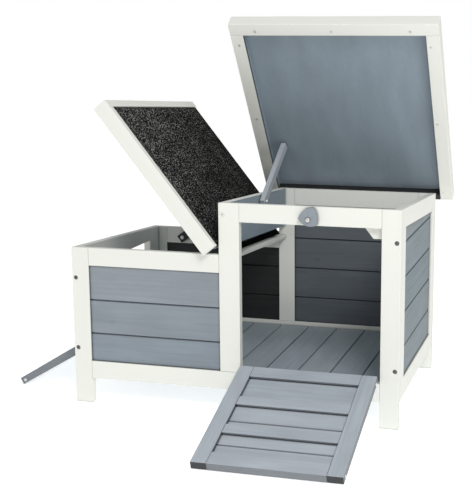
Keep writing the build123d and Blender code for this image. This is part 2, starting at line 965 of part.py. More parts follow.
# Prop sticks
prop_line = prop_wall_gap + prop_thickness / 2
tower_prop_pivot = (tower_wall_right + prop_line, tower_prop_back, tower_prop_height)
tower_prop = prop_stick(
    tower_prop_pivot,
    prop_direction(tower_prop_angle, (0, 1, 0)),
    (1, 0, 0),
    tower_roof_plane,
    tower_deck_low,
    tower_prop_gap,
)
low_prop_pivot = (low_prop_left, back_face - prop_line, low_prop_height)
low_prop = prop_stick(
    low_prop_pivot,
    prop_direction(low_prop_angle, (1, 0, 0)),
    (0, -1, 0),
    low_roof_plane,
    low_deck_low,
    low_prop_gap,
)


def turn_button(origin, outwards, lean):
    """A spade-shaped turn button on its screw, tip up, standing off the wall by a small gap."""
    up = Vector(0, 0, 1)
    right = up.cross(Vector(outwards))
    leaning = Plane(
        Vector(origin) + Vector(outwards) * button_wall_gap,
        x_dir=right * cos(radians(lean)) - up * sin(radians(lean)),
        z_dir=outwards,
    )
    with BuildPart(leaning) as button:
        with BuildSketch(leaning) as spade:
            with BuildLine():
                shoulder_right = (button_half_width, -button_shoulder)
                shoulder_left = (-button_half_width, -button_shoulder)
                tip = (0, button_tip)
                bulge = (button_half_width * 0.78, button_tip * 0.45)
                ThreePointArc(shoulder_right, bulge, tip)
                ThreePointArc(tip, (-bulge[0], bulge[1]), shoulder_left)
                ThreePointArc(shoulder_left, (0, -button_base), shoulder_right)
            make_face()
            fillet(spade.vertices(), button_corner)
        extrude(amount=button_thickness)
        Cylinder(
            pivot_screw_radius + running_clearance, 4 * button_thickness, mode=Mode.SUBTRACT
        )
    return button


front_button = turn_button((button_x, 0, button_z), outward, button_angle)
side_button = turn_button((0, side_button_y, side_button_z), (-1, 0, 0), button_angle)

# Pivot screws of the props and the turn buttons, headed just off what they hold
pivots = [
    ((tower_wall_right, tower_prop_back, tower_prop_height), (1, 0, 0), prop_wall_gap, prop_thickness),
    ((low_prop_left, back_face, low_prop_height), (0, -1, 0), prop_wall_gap, prop_thickness),
    ((button_x, 0, button_z), outward, button_wall_gap, button_thickness),
    ((0, side_button_y, side_button_z), (-1, 0, 0), button_wall_gap, button_thickness),
]
with BuildPart() as pivot_screws:
    for origin, outwards, gap, thickness in pivots:
        head_low = gap + thickness + roof_gap
        with Locations(Plane(origin, z_dir=outwards)):
            with Locations((0, 0, -pivot_screw_depth)):
                Cylinder(
                    pivot_screw_radius,
                    pivot_screw_depth + head_low,
                    align=(Align.CENTER, Align.CENTER, Align.MIN),
                )
            with Locations((0, 0, head_low)):
                Cylinder(
                    pivot_head_radius,
                    pivot_head_height,
                    align=(Align.CENTER, Align.CENTER, Align.MIN),
                )
with BuildPart() as frame_screws:
    for position, direction in all_screws:
        drive_screw(position, direction)

pieces = {
    "front_left_post": front_left_post,
    "front_middle_post": front_middle_post,
    "front_right_post": front_right_post,
    "front_bottom_rail": front_bottom_rail,
    "front_low_rail": front_low_rail,
    "front_tower_rail": front_tower_rail,
    "front_low_planks": front_low_planks,
    "back_left_post": back_left_post,
    "back_middle_post": back_middle_post,
    "back_right_post": back_right_post,
    "back_bottom_rail": back_bottom_rail,
    "back_low_rail": back_low_rail,
    "back_tower_rail": back_tower_rail,
    "back_low_planks": back_low_planks,
    "back_tower_planks": back_tower_planks,
    "right_front_stile": right_front_stile,
    "right_back_stile": right_back_stile,
    "right_top_rail": right_top_rail,
    "right_bottom_rail": right_bottom_rail,
    "right_planks": right_planks,
    "left_front_stile": left_front_stile,
    "left_back_stile": left_back_stile,
    "left_top_rail": left_top_rail,
    "left_bottom_rail": left_bottom_rail,
    "divider_rail": divider_rail,
    "tower_left_panel": tower_left_panel,
    "floor_planks": floor_planks,
    "floor_battens": floor_battens,
    "door_stop": door_stop,
    "cabinet_hinge_leaves": cabinet_leaves,
    "hinge_pins": hinge_pins,
    "pivot_screws": pivot_screws,
    "frame_screws": frame_screws,
    "tower_roof_front_rail": tower_roof_front_rail,
    "tower_roof_left_rail": tower_roof_left_rail,
    "tower_roof_right_rail": tower_roof_right_rail,
    "tower_roof_back_rail": tower_roof_back_rail,
    "tower_roof_deck": tower_roof_deck,
    "tower_roof_felt": tower_roof_felt,
    "tower_roof_hinge_leaves": tower_roof_leaves,
    "low_roof_front_fascia": low_roof_front_fascia,
    "low_roof_left_fascia": low_roof_left_fascia,
    "low_roof_back_rail": low_roof_back_rail,
    "low_roof_deck": low_roof_deck,
    "low_roof_felt": low_roof_felt,
    "low_roof_hinge_leaves": low_roof_leaves,
    "front_ramp_stiles": front_ramp_stiles,
    "front_ramp_rails": front_ramp_rails,
    "front_ramp_planks": front_ramp_planks,
    "front_ramp_treads": front_ramp_treads,
    "front_ramp_hinge_leaves": front_ramp_leaves,
    "side_ramp_stiles": side_ramp_stiles,
    "side_ramp_rails": side_ramp_rails,
    "side_ramp_planks": side_ramp_planks,
    "side_ramp_treads": side_ramp_treads,
    "side_ramp_hinge_leaves": side_ramp_leaves,
    "tower_prop": tower_prop,
    "low_prop": low_prop,
    "front_turn_button": front_button,
    "side_turn_button": side_button,
}

# Centre the whole hutch over the origin, standing on the ground, and write each piece
boxes = [piece.part.bounding_box() for piece in pieces.values()]
low_corner = Vector(*(min(tuple(box.min)[i] for box in boxes) for i in range(3)))
high_corner = Vector(*(max(tuple(box.max)[i] for box in boxes) for i in range(3)))
origin = Vector(
    (low_corner.X + high_corner.X) / 2, (low_corner.Y + high_corner.Y) / 2, low_corner.Z
)
os.makedirs("parts", exist_ok=True)
for name, piece in pieces.items():
    piece.part.label = name
    piece.part.position -= origin
    export_step(piece.part, f"parts/{name}.step")

# Where the joints are, for the record
closed_tower = tower_roof_angle - degrees(roof_pitch)
joints = {
    "tower_roof_hinge": (tower_roof_axis, (1, 0, 0), closed_tower),
    "low_roof_hinge": (low_roof_axis, ridge, low_roof_angle),
    "front_ramp_hinge": (front_ramp_axis, (1, 0, 0), 90 + degrees(front_slope)),
    "side_ramp_hinge": (side_ramp_axis, (0, 1, 0), 90 + degrees(side_slope)),
    "tower_prop_pivot": (tower_prop_pivot, (1, 0, 0), tower_prop_angle),
    "low_prop_pivot": (low_prop_pivot, (0, 1, 0), low_prop_angle),
    "front_button_pivot": ((button_x, -button_wall_gap, button_z), (0, 1, 0), 180),
    "side_button_pivot": ((-button_wall_gap, side_button_y, side_button_z), (1, 0, 0), 180),
}
print("origin", *(round(v, 5) for v in tuple(origin)))
print("box", *(round(v, 3) for v in tuple(high_corner - low_corner)))
for name, (point, axis, swing) in joints.items():
    place = Vector(point) - origin
    direction = Vector(axis)
    numbers = (place.X, place.Y, place.Z, direction.X, direction.Y, direction.Z, swing)
    print("joint", name, *(round(v, 5) for v in numbers))
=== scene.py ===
import math

import bmesh
import bpy
from bpy.props import FloatProperty, FloatVectorProperty, PointerProperty
from mathutils import Matrix, Vector


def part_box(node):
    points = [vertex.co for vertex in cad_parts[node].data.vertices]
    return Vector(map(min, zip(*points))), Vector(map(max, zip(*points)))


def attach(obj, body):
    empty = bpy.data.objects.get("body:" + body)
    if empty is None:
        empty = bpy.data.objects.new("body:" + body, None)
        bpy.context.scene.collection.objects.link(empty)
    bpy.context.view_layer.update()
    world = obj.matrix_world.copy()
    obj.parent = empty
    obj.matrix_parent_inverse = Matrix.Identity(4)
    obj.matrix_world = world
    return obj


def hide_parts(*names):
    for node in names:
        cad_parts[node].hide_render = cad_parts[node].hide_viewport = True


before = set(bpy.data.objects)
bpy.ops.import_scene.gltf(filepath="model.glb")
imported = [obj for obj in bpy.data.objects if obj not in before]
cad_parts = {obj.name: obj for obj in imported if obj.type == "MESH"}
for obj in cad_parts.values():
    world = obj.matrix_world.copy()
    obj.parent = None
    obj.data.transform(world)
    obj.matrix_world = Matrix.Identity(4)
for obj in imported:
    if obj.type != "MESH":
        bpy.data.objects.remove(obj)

bl_info = {
    "name": "Rabbit hutch looks",
    "version": (1, 0, 0),
    "blender": (4, 5, 0),
    "location": "3D View > Sidebar > Hutch",
    "description": "Materials, small hardware, stage and camera for a two-room rabbit hutch",
    "category": "Object",
}

MM = 0.001

# Slopes at rest, from the horizontal
TOWER_ROOF_TILT = math.radians(54.0)
LOW_ROOF_TILT = math.radians(50.5)
ROOF_FALL = math.atan2(25.0, 412.0)
FRONT_RAMP_DROP = math.radians(18.07)
SIDE_RAMP_DROP = math.radians(30.64)
TOWER_PROP_LEAN = math.radians(33.0)
LOW_PROP_LEAN = math.radians(36.0)

ACROSS = Vector((1.0, 0.0, 0.0))
INTO = Vector((0.0, 1.0, 0.0))
UP = Vector((0.0, 0.0, 1.0))
TOWER_SLOPE = Vector((0.0, math.cos(TOWER_ROOF_TILT), -math.sin(TOWER_ROOF_TILT)))
TOWER_OUT = Vector((0.0, math.sin(TOWER_ROOF_TILT), math.cos(TOWER_ROOF_TILT)))
LOW_AXIS = Vector((0.0, math.cos(ROOF_FALL), -math.sin(ROOF_FALL)))
LOW_UP = Vector((0.0, math.sin(ROOF_FALL), math.cos(ROOF_FALL)))
LOW_SLOPE = ACROSS * math.cos(LOW_ROOF_TILT) - LOW_UP * math.sin(LOW_ROOF_TILT)
LOW_OUT = LOW_UP * math.cos(LOW_ROOF_TILT) + ACROSS * math.sin(LOW_ROOF_TILT)
FRONT_RAMP_SLOPE = Vector((0.0, -math.cos(FRONT_RAMP_DROP), -math.sin(FRONT_RAMP_DROP)))
FRONT_RAMP_OUT = Vector((0.0, -math.sin(FRONT_RAMP_DROP), math.cos(FRONT_RAMP_DROP)))
SIDE_RAMP_SLOPE = Vector((-math.cos(SIDE_RAMP_DROP), 0.0, -math.sin(SIDE_RAMP_DROP)))
SIDE_RAMP_OUT = Vector((-math.sin(SIDE_RAMP_DROP), 0.0, math.cos(SIDE_RAMP_DROP)))
TOWER_PROP_LINE = Vector((0.0, math.cos(TOWER_PROP_LEAN), math.sin(TOWER_PROP_LEAN)))
LOW_PROP_LINE = Vector((math.cos(LOW_PROP_LEAN), 0.0, math.sin(LOW_PROP_LEAN)))

# Nodes by finish, each with the direction its grain runs in
WHITE_NODES = {
    "front_left_post": UP,
    "front_middle_post": UP,
    "front_right_post": UP,
    "back_left_post": UP,
    "back_middle_post": UP,
    "back_right_post": UP,
    "front_bottom_rail": ACROSS,
    "front_low_rail": ACROSS,
    "front_tower_rail": ACROSS,
    "back_bottom_rail": ACROSS,
    "back_low_rail": ACROSS,
    "back_tower_rail": ACROSS,
    "right_front_stile": UP,
    "right_back_stile": UP,
    "right_top_rail": INTO,
    "right_bottom_rail": INTO,
    "left_front_stile": UP,
    "left_back_stile": UP,
    "left_top_rail": INTO,
    "left_bottom_rail": INTO,
    "divider_rail": INTO,
    "floor_battens": ACROSS,
    "door_stop": UP,
    "low_roof_front_fascia": LOW_SLOPE,
    "low_roof_left_fascia": LOW_AXIS,
    "low_roof_back_rail": LOW_SLOPE,
}
# Rails whose inner face is glazed with the deck, with the way that face looks
ROOF_RAILS = {
    "tower_roof_front_rail": (ACROSS, TOWER_SLOPE),
    "tower_roof_left_rail": (TOWER_SLOPE, ACROSS),
    "tower_roof_right_rail": (TOWER_SLOPE, -ACROSS),
}
FRONT_WALL_NODES = {
    "front_low_planks": ACROSS,
    "front_turn_button": UP,
    "side_turn_button": UP,
}
RIGHT_WALL_NODES = {
    "right_planks": INTO,
}
PANEL_NODES = {
    "tower_left_panel": INTO,
}
DECK_NODES = {
    "tower_roof_deck": TOWER_SLOPE,
    "low_roof_deck": LOW_AXIS,
}
FRONT_RAMP_NODES = {
    "front_ramp_stiles": FRONT_RAMP_SLOPE,
    "front_ramp_rails": ACROSS,
    "front_ramp_planks": ACROSS,
    "front_ramp_treads": ACROSS,
}
SIDE_RAMP_NODES = {
    "side_ramp_stiles": SIDE_RAMP_SLOPE,
    "side_ramp_rails": INTO,
    "side_ramp_planks": INTO,
    "side_ramp_treads": INTO,
}
FLOOR_NODES = {
    "floor_planks": INTO,
}
STICK_NODES = {
    "tower_prop": TOWER_PROP_LINE,
}
DARK_GREY_NODES = {
    "back_tower_planks": ACROSS,
}
STAINED_NODES = {
    "back_low_planks": ACROSS,
    "tower_roof_back_rail": ACROSS,
    "low_prop": LOW_PROP_LINE,
}
HINGE_NODES = (
    "cabinet_hinge_leaves",
    "hinge_pins",
    "tower_roof_hinge_leaves",
    "low_roof_hinge_leaves",
    "front_ramp_hinge_leaves",
    "side_ramp_hinge_leaves",
)
# Tongued planks have lips too thin for a board's rounding
THIN_EDGED = (
    "front_low_planks", "right_planks", "floor_planks", "back_tower_planks", "back_low_planks",
    "front_ramp_planks", "side_ramp_planks",
)

# Places on the cabinet, in millimetres from the foot of the front left corner
TOWER_HINGE_LINE = (0.0, 415.0, 378.0)
LOW_HINGE_LINE = (296.0, -0.18, 306.01)
# From the tower roof's hinge line out to the underside of its rails
ROOF_RAIL_LIFT = 3.5
FRONT_RAMP_HINGE = (472.0, -3.0, 86.25)
SIDE_RAMP_HINGE = (-3.0, 206.0, 86.25)
FRAME_SCREW_PLACES = [
    ((7.5, 0.0, 110.0), INTO),
    ((7.5, 0.0, 249.0), INTO),
    ((306.5, 0.0, 384.0), INTO),
    ((632.5, 0.0, 110.0), INTO),
    ((632.5, 0.0, 346.0), INTO),
    ((7.5, 412.0, 110.0), -INTO),
    ((7.5, 412.0, 224.0), -INTO),
    ((306.5, 412.0, 359.0), -INTO),
    ((632.5, 412.0, 110.0), -INTO),
    ((632.5, 412.0, 321.0), -INTO),
]
# The rows of the list above that hold the tower's left panel
PANEL_SCREW_ROWS = (2, 7)
PIVOT_PLACES = [
    ((314.0, 212.0, 380.0), ACROSS, 12.5),
    ((77.0, 397.0, 264.0), -INTO, 12.5),
    ((471.5, 0.0, 382.5), -INTO, 9.5),
    ((0.0, 206.0, 271.5), -ACROSS, 9.5),
]

# Screws under the tower roof's rails, across the roof and down its slope from the hinge line
ROOF_SCREW_PLACES = [
    *((across, -414.0) for across in (317.0, 468.6, 620.0)),
    *((279.0, down) for down in (-380.6, -193.6, -2.6)),
    *((656.0, down) for down in (-378.0, -190.0, -2.6)),
]
# Screws in the edges of the ramps' stiles, down the slope from the hinge line and above it
FRONT_RAMP_SCREW_RUNS = (15.0, 270.0)
SIDE_RAMP_SCREW_RUNS = (15.0, 162.5)
RAMP_SCREW_LIFT = 9.5
# Middles of the hinges, on their pins
TOWER_HINGES = [(x, 415.0, 378.0) for x in (361.0, 578.0)]
LOW_HINGES = [tuple(Vector(LOW_HINGE_LINE) + LOW_AXIS * along) for along in (62.0, 350.0)]
FRONT_RAMP_HINGES = [(x, -3.0, 86.25) for x in (403.5, 540.5)]
SIDE_RAMP_HINGES = [(-3.0, y, 86.25) for y in (127.5, 284.5)]
# A leaf's thickness, and how far its screws stand from its middle
HINGE_LEAF_THICKNESS = 1.2
HINGE_SCREW_SPACING = 8.5

# Shuffles the tones dealt to the boards
BOARD_DEAL = 9.9

# A pan head from its crown to its foot, as shares of its radius and height
HEAD_OUTLINE = ((0.82, 0.92), (0.95, 0.72), (1.0, 0.4), (1.0, 0.0))
# Its cross recess, as shares of the same
CROSS_ARM = 0.62
CROSS_HALF_WIDTH = 0.17
CROSS_TAPER = 0.72
CROSS_FLOOR = 0.3
# A small screw's shank as a share of its head, and the blunt end of a shank as a share of the shank
SHANK = 0.5
SHANK_END = 0.25

# The photograph's frame, in pixels
PHOTO_WIDTH = 472.0
PHOTO_HEIGHT = 500.0


def linear(code):
    """The linear red, green and blue of an sRGB hex colour."""
    values = [int(code[place:place + 2], 16) / 255.0 for place in (1, 3, 5)]
    return tuple(v / 12.92 if v <= 0.04045 else ((v + 0.055) / 1.055) ** 2.4 for v in values)


def length(name, description, default, least=0.0):
    """A length that a user may change, in metres."""
    return FloatProperty(name=name, description=description, default=default, min=least, unit="LENGTH")


def shade(name, description, code):
    """A colour that a user may change, from its sRGB hex code."""
    return FloatVectorProperty(
        name=name, description=description, default=linear(code), min=0.0, max=1.0, subtype="COLOR",
    )


class HutchSizes(bpy.types.PropertyGroup):
    """Sizes of the small pieces and of the stage."""

    board_edge: length("Board edge", "Rounding of a planed board's edges", 0.9 * MM)
    plank_edge: length("Plank edge", "Rounding of the lips beside a plank's groove", 0.25 * MM)
    felt_edge: length("Felt edge", "Rounding of the cut edge of the roofing felt", 0.5 * MM)
    plate_edge: length("Hinge edge", "Rounding of a pressed hinge leaf", 0.1 * MM)
    roof_screw: length("Roof screw", "Radius of the screw heads under the tower roof", 2.7 * MM, MM)
    ramp_screw: length("Ramp screw", "Radius of the screw heads in the ramps' sides", 3.2 * MM, MM)
    hinge_screw: length("Hinge screw", "Radius of the screw heads in the hinge leaves", 2.6 * MM, MM)
    floor_reach: length("Floor", "Half the width of the studio floor", 9.0, 2.0)


class HutchColours(bpy.types.PropertyGroup):
    """Paint, glaze, felt and metal colours."""

    white: shade("White paint", "Satin white on the frame", "#e4e5de")
    grey: shade("Wall glaze", "Blue grey glaze on the front wall and the turn buttons", "#7f8b95")
    # A darker copy of the wall glaze: painted shade on the right wall
    shaded_right_grey: shade("Right wall glaze", "Deeper grey glaze on the right wall", "#6c7d85")
    ramp_grey: shade("Ramp glaze", "Lighter grey glaze on the ramps", "#acb5be")
    floor_grey: shade("Floor glaze", "Grey glaze on the floor", "#929ea6")
    stick_grey: shade("Stick glaze", "Light grey glaze on the tower's prop stick", "#abb3ba")
    deck_grey: shade("Deck glaze", "Bluer grey glaze on the decks and the tower's left panel", "#8996a0")
    dark_grey: shade("Dark glaze", "Dark grey glaze on the tower's back wall", "#596067")
    stain: shade("Dark stain", "Near black stain on the low back wall, low stick and a roof rail", "#202021")
    felt: shade("Felt", "Bitumen between the granules", "#0a0a0b")
    granule: shade("Granule", "The lightest mineral granules", "#d6d6d2")
    zinc: shade("Zinc", "Bright zinc plate on the screws", "#e8eaeb")
    sheet: shade("Hinge zinc", "Duller zinc on the pressed hinges", "#a9adb0")
    phosphate: shade("Phosphate", "Black phosphate on the frame screws", "#5e5e60")
    floor: shade("Studio floor", "Opal white of the studio floor", "#fbfbfa")


def drawn(x, y, z):
    """A place on the hutch from its front left foot, in millimetres, as a point in the row frame."""
    corner = Vector(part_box("front_left_post")[0])
    return corner + Vector((x, y, z)) * MM


def add(tree, kind, links=None, settings=None, **fields):
    """One shader node with its fields, its sockets' settings and the links that feed it."""
    node = tree.nodes.new(kind)
    for field, value in fields.items():
        setattr(node, field, value)
    for socket, value in (settings or {}).items():
        node.inputs[socket].default_value = value
    for socket, source in (links or {}).items():
        tree.links.new(source, node.inputs[socket])
    return node


def bare_material(name):
    """A new material and its empty tree, ready for nodes."""
    material = bpy.data.materials.new(name)
    material.use_nodes = True
    material.node_tree.nodes.clear()
    return material, material.node_tree


def set_stops(node, stops):
    """Puts stops, pairs of a position and a colour, on a colour ramp."""
    ramp = node.color_ramp
    while len(ramp.elements) < len(stops):
        ramp.elements.new(1.0)
    for element, (position, colour) in zip(ramp.elements, stops):
        element.position = position
        element.color = (*colour, 1.0)


def scaled(colour, factor):
    """A colour made lighter or darker."""
    return tuple(min(1.0, part * factor) for part in colour)


def along_grain(tree, direction, stretch, shift=None):
    """Coordinates fixed to the piece, with the grain along their X and drawn out by stretch."""
    place = add(tree, "ShaderNodeTexCoord")
    turn = ACROSS.rotation_difference(direction).to_euler()
    space = add(
        tree, "ShaderNodeMapping", vector_type="TEXTURE",
        settings={"Rotation": turn, "Scale": (stretch, 1.0, 1.0)},
        links={"Vector": place.outputs["Object"]},
    )
    if shift is None:
        return space
    return add(
        tree, "ShaderNodeVectorMath", operation="ADD",
        links={0: space.outputs["Vector"], 1: shift.outputs["Vector"]},
    )


def faces_looking(tree, direction, start, end):
    """A share that rises from 0 to 1 as a face turns to look along a direction."""
    place = add(tree, "ShaderNodeTexCoord")
    cosine = add(
        tree, "ShaderNodeVectorMath", operation="DOT_PRODUCT",
        links={0: place.outputs["Normal"]}, settings={1: direction},
    )
    return add(
        tree, "ShaderNodeMapRange", links={"Value": cosine.outputs["Value"]},
        settings={"From Min": start, "From Max": end},
    )


def faces_either_way(tree, direction, start, end):
    """The same share for faces that look along a direction or against it."""
    ways = [faces_looking(tree, way, start, end) for way in (direction, -direction)]
    return add(
        tree, "ShaderNodeMath", operation="MAXIMUM",
        links={socket: way.outputs["Result"] for socket, way in enumerate(ways)},
    )


def painted_joint_shade(tree, tone, reach, least):
    """A tone darkened with painted shade wherever another face is within reach, as in joints, corners and
    recesses.
    """
    nearness = add(tree, "ShaderNodeAmbientOcclusion", samples=8, settings={"Distance": reach})
    share = add(
        tree, "ShaderNodeMapRange", links={"Value": nearness.outputs["AO"]},
        settings={"From Min": 0.48, "From Max": 0.92, "To Min": least, "To Max": 1.0},
    )
    return add(
        tree, "ShaderNodeVectorMath", operation="SCALE",
        links={0: tone, "Scale": share.outputs["Result"]},
    )


def finish_surface(tree, shader):
    """Connects a shader to the material's output."""
    add(tree, "ShaderNodeOutputMaterial", links={"Surface": shader.outputs["BSDF"]})


def painted_pine(colour, direction, glaze=None, glazed_side=None):
    """Satin paint brushed on pine: brush lines and a little grain show as relief along the board."""
    least = 0.6 if glazed_side is None else 1.0
    material, tree = bare_material("white_painted_pine")
    # Grain lines about 4 mm apart, thirty times as long as they are wide
    grain_space = along_grain(tree, direction, 30.0)
    grain = add(
        tree, "ShaderNodeTexNoise", settings={"Scale": 1.0 / (4 * MM), "Detail": 3.0},
        links={"Vector": grain_space.outputs["Vector"]},
    )
    # Thin and thick paint in patches about 60 mm across, hardly seen
    patch = add(
        tree, "ShaderNodeTexNoise", settings={"Scale": 1.0 / (60 * MM), "Detail": 2.0},
        links={"Vector": grain_space.outputs["Vector"]},
    )
    tone = add(tree, "ShaderNodeValToRGB", links={"Fac": patch.outputs["Fac"]})
    set_stops(tone, [(0.3, scaled(colour, 0.95)), (0.7, colour)])
    top_coat = tone.outputs["Color"]
    if glazed_side is not None:
        # The paint stops at the rail's inner corner, where the deck's glaze runs up the face
        inside = faces_looking(tree, glazed_side, 0.6, 0.8)
        # Along the rail's lip the glaze is painted near black in a line a few millimetres wide: a painted
        # shade line
        place = add(tree, "ShaderNodeTexCoord")
        height = add(
            tree, "ShaderNodeVectorMath", operation="DOT_PRODUCT",
            links={0: place.outputs["Object"]}, settings={1: TOWER_OUT},
        )
        lip = drawn(*TOWER_HINGE_LINE).dot(TOWER_OUT) + ROOF_RAIL_LIFT * MM
        lip_shade = add(
            tree, "ShaderNodeMapRange", links={"Value": height.outputs["Value"]},
            settings={"From Min": lip + 4.5 * MM, "From Max": lip + 7 * MM, "To Min": 0.03},
        )
        run_up = add(
            tree, "ShaderNodeVectorMath", operation="SCALE",
            links={"Scale": lip_shade.outputs["Result"]}, settings={0: glaze},
        )
        both = add(
            tree, "ShaderNodeMix", data_type="RGBA",
            links={0: inside.outputs["Result"], 6: top_coat, 7: run_up.outputs["Vector"]},
        )
        top_coat = both.outputs[2]
    # Painted shade in joints and corners, left off the tower roof's rails
    joint_shaded = painted_joint_shade(tree, top_coat, 5 * MM, least)
    sheen = add(
        tree, "ShaderNodeMapRange", links={"Value": grain.outputs["Fac"]},
        settings={"To Min": 0.42, "To Max": 0.58},
    )
    relief = add(
        tree, "ShaderNodeBump", links={"Height": grain.outputs["Fac"]},
        settings={"Strength": 0.18, "Distance": 0.25 * MM},
    )
    # Water-based satin paint: index 1.5, roughness near a half
    shader = add(
        tree, "ShaderNodeBsdfPrincipled", settings={"IOR": 1.5},
        links={
            "Base Color": joint_shaded.outputs["Vector"],
            "Roughness": sheen.outputs["Result"],
            "Normal": relief.outputs["Normal"],
        },
    )
    finish_surface(tree, shader)
    return material


def glazed_pine(
    name, colour, direction, contrast, spread, stretch=40.0, face=None, joint=(6.0, 0.1), end=0.16, rim=None
):
    """Thin glaze over pine: late wood and knots stay darker, end grain drinks, boards differ in tone."""
    material, tree = bare_material(name)
    board = add(tree, "ShaderNodeNewGeometry")
    # Each board is cut from another place in the log and has a tone of its own
    shift = add(
        tree, "ShaderNodeVectorMath", operation="SCALE",
        links={"Scale": board.outputs["Random Per Island"]}, settings={0: (0.7, 0.9, 0.8)},
    )
    dealt = add(
        tree, "ShaderNodeMath", operation="MULTIPLY",
        links={0: board.outputs["Random Per Island"]}, settings={1: BOARD_DEAL},
    )
    lot = add(tree, "ShaderNodeMath", operation="FRACT", links={0: dealt.outputs["Value"]})
    # Growth lines about 5 mm apart, and many times as long as wide
    lined = along_grain(tree, direction, stretch, shift)
    growth = add(
        tree, "ShaderNodeTexNoise", links={"Vector": lined.outputs["Vector"]},
        settings={"Scale": 1.0 / (5 * MM), "Detail": 4.0, "Roughness": 0.6, "Distortion": 0.4},
    )
    # Fine pores, under 1 mm wide
    pores = add(
        tree, "ShaderNodeTexNoise", links={"Vector": lined.outputs["Vector"]},
        settings={"Scale": 1.0 / (0.9 * MM), "Detail": 2.0},
    )
    # Clouds of pooled glaze about 40 mm wide and a few times as long
    clouded = along_grain(tree, direction, 3.0, shift)
    cloud = add(
        tree, "ShaderNodeTexNoise", links={"Vector": clouded.outputs["Vector"]},
        settings={"Scale": 1.0 / (40 * MM), "Detail": 4.0},
    )
    # Knots about 10 mm across, some 70 mm apart, so most boards have one or two
    knotted = along_grain(tree, direction, 1.7, shift)
    knot = add(
        tree, "ShaderNodeTexVoronoi", links={"Vector": knotted.outputs["Vector"]},
        settings={"Scale": 1.0 / (70 * MM)},
    )
    knots = add(
        tree, "ShaderNodeMapRange", links={"Value": knot.outputs["Distance"]},
        interpolation_type="SMOOTHSTEP",
        settings={"From Min": 0.03, "From Max": 0.1, "To Min": 1.0 - contrast, "To Max": 1.0},
    )
    lines = add(tree, "ShaderNodeValToRGB", links={"Fac": growth.outputs["Fac"]})
    set_stops(lines, [
        (0.30, scaled(colour, 1.0 - contrast)),
        (0.48, scaled(colour, 1.0 - 0.25 * contrast)),
        (0.70, scaled(colour, 1.0 + 0.45 * contrast)),
    ])
    # A board with thin glaze looks a little warmer and greyer than its neighbour
    mean = sum(colour) / 3.0
    plain = add(
        tree, "ShaderNodeMapRange", links={"Value": lot.outputs["Value"]},
        settings={"To Min": 0.0, "To Max": 4.0 * spread},
    )
    hued = add(
        tree, "ShaderNodeMix", data_type="RGBA",
        links={0: plain.outputs["Result"], 6: lines.outputs["Color"]},
        settings={7: (mean, mean, mean, 1.0)},
    )
    clouds = add(
        tree, "ShaderNodeMapRange", links={"Value": cloud.outputs["Fac"]},
        settings={"From Min": 0.3, "From Max": 0.7, "To Min": 0.91, "To Max": 1.08},
    )
    boards = add(
        tree, "ShaderNodeMapRange", links={"Value": lot.outputs["Value"]},
        settings={"To Min": 1.0 - spread, "To Max": 1.0 + spread},
    )
    ends = faces_either_way(tree, direction, 0.75, 0.9)
    soaked = add(
        tree, "ShaderNodeMapRange", links={"Value": ends.outputs["Value"]},
        settings={"To Min": 1.0, "To Max": end},
    )
    factors = [boards, knots, soaked]
    if face is not None:
        # Sawn edges take up more glaze than planed faces
        planed = faces_either_way(tree, face, 0.5, 0.85)
        factors.append(add(
            tree, "ShaderNodeMapRange", links={"Value": planed.outputs["Value"]},
            settings={"To Min": 0.42, "To Max": 1.0},
        ))
    share = clouds.outputs["Result"]
    for other in factors:
        product = add(
            tree, "ShaderNodeMath", operation="MULTIPLY",
            links={0: share, 1: other.outputs["Result"]},
        )
        share = product.outputs["Value"]
    toned = add(
        tree, "ShaderNodeVectorMath", operation="SCALE",
        links={0: hued.outputs[2], "Scale": share},
    )
    finished = toned.outputs["Vector"]
    if rim is not None:
        # The frame's white paint is carried over the board's top edge
        upper = faces_looking(tree, UP, 0.5, 0.7)
        edged = add(
            tree, "ShaderNodeMix", data_type="RGBA",
            links={0: upper.outputs["Result"], 6: finished}, settings={7: (*rim, 1.0)},
        )
        finished = edged.outputs[2]
    # Painted shade in joints and corners: its reach in millimetres and the darkest share it leaves
    reach, least = joint
    joint_shaded = painted_joint_shade(tree, finished, reach * MM, least)
    dull = add(
        tree, "ShaderNodeMapRange", links={"Value": growth.outputs["Fac"]},
        settings={"To Min": 0.64, "To Max": 0.48},
    )
    coarse = add(
        tree, "ShaderNodeBump", links={"Height": growth.outputs["Fac"]},
        settings={"Strength": 1.4 * contrast, "Distance": 0.35 * MM},
    )
    fine = add(
        tree, "ShaderNodeBump",
        links={"Height": pores.outputs["Fac"], "Normal": coarse.outputs["Normal"]},
        settings={"Strength": 0.1, "Distance": 0.1 * MM},
    )
    # Matt wood glaze: index near 1.48
    shader = add(
        tree, "ShaderNodeBsdfPrincipled", settings={"IOR": 1.48},
        links={
            "Base Color": joint_shaded.outputs["Vector"],
            "Roughness": dull.outputs["Result"],
            "Normal": fine.outputs["Normal"],
        },
    )
    finish_surface(tree, shader)
    return material


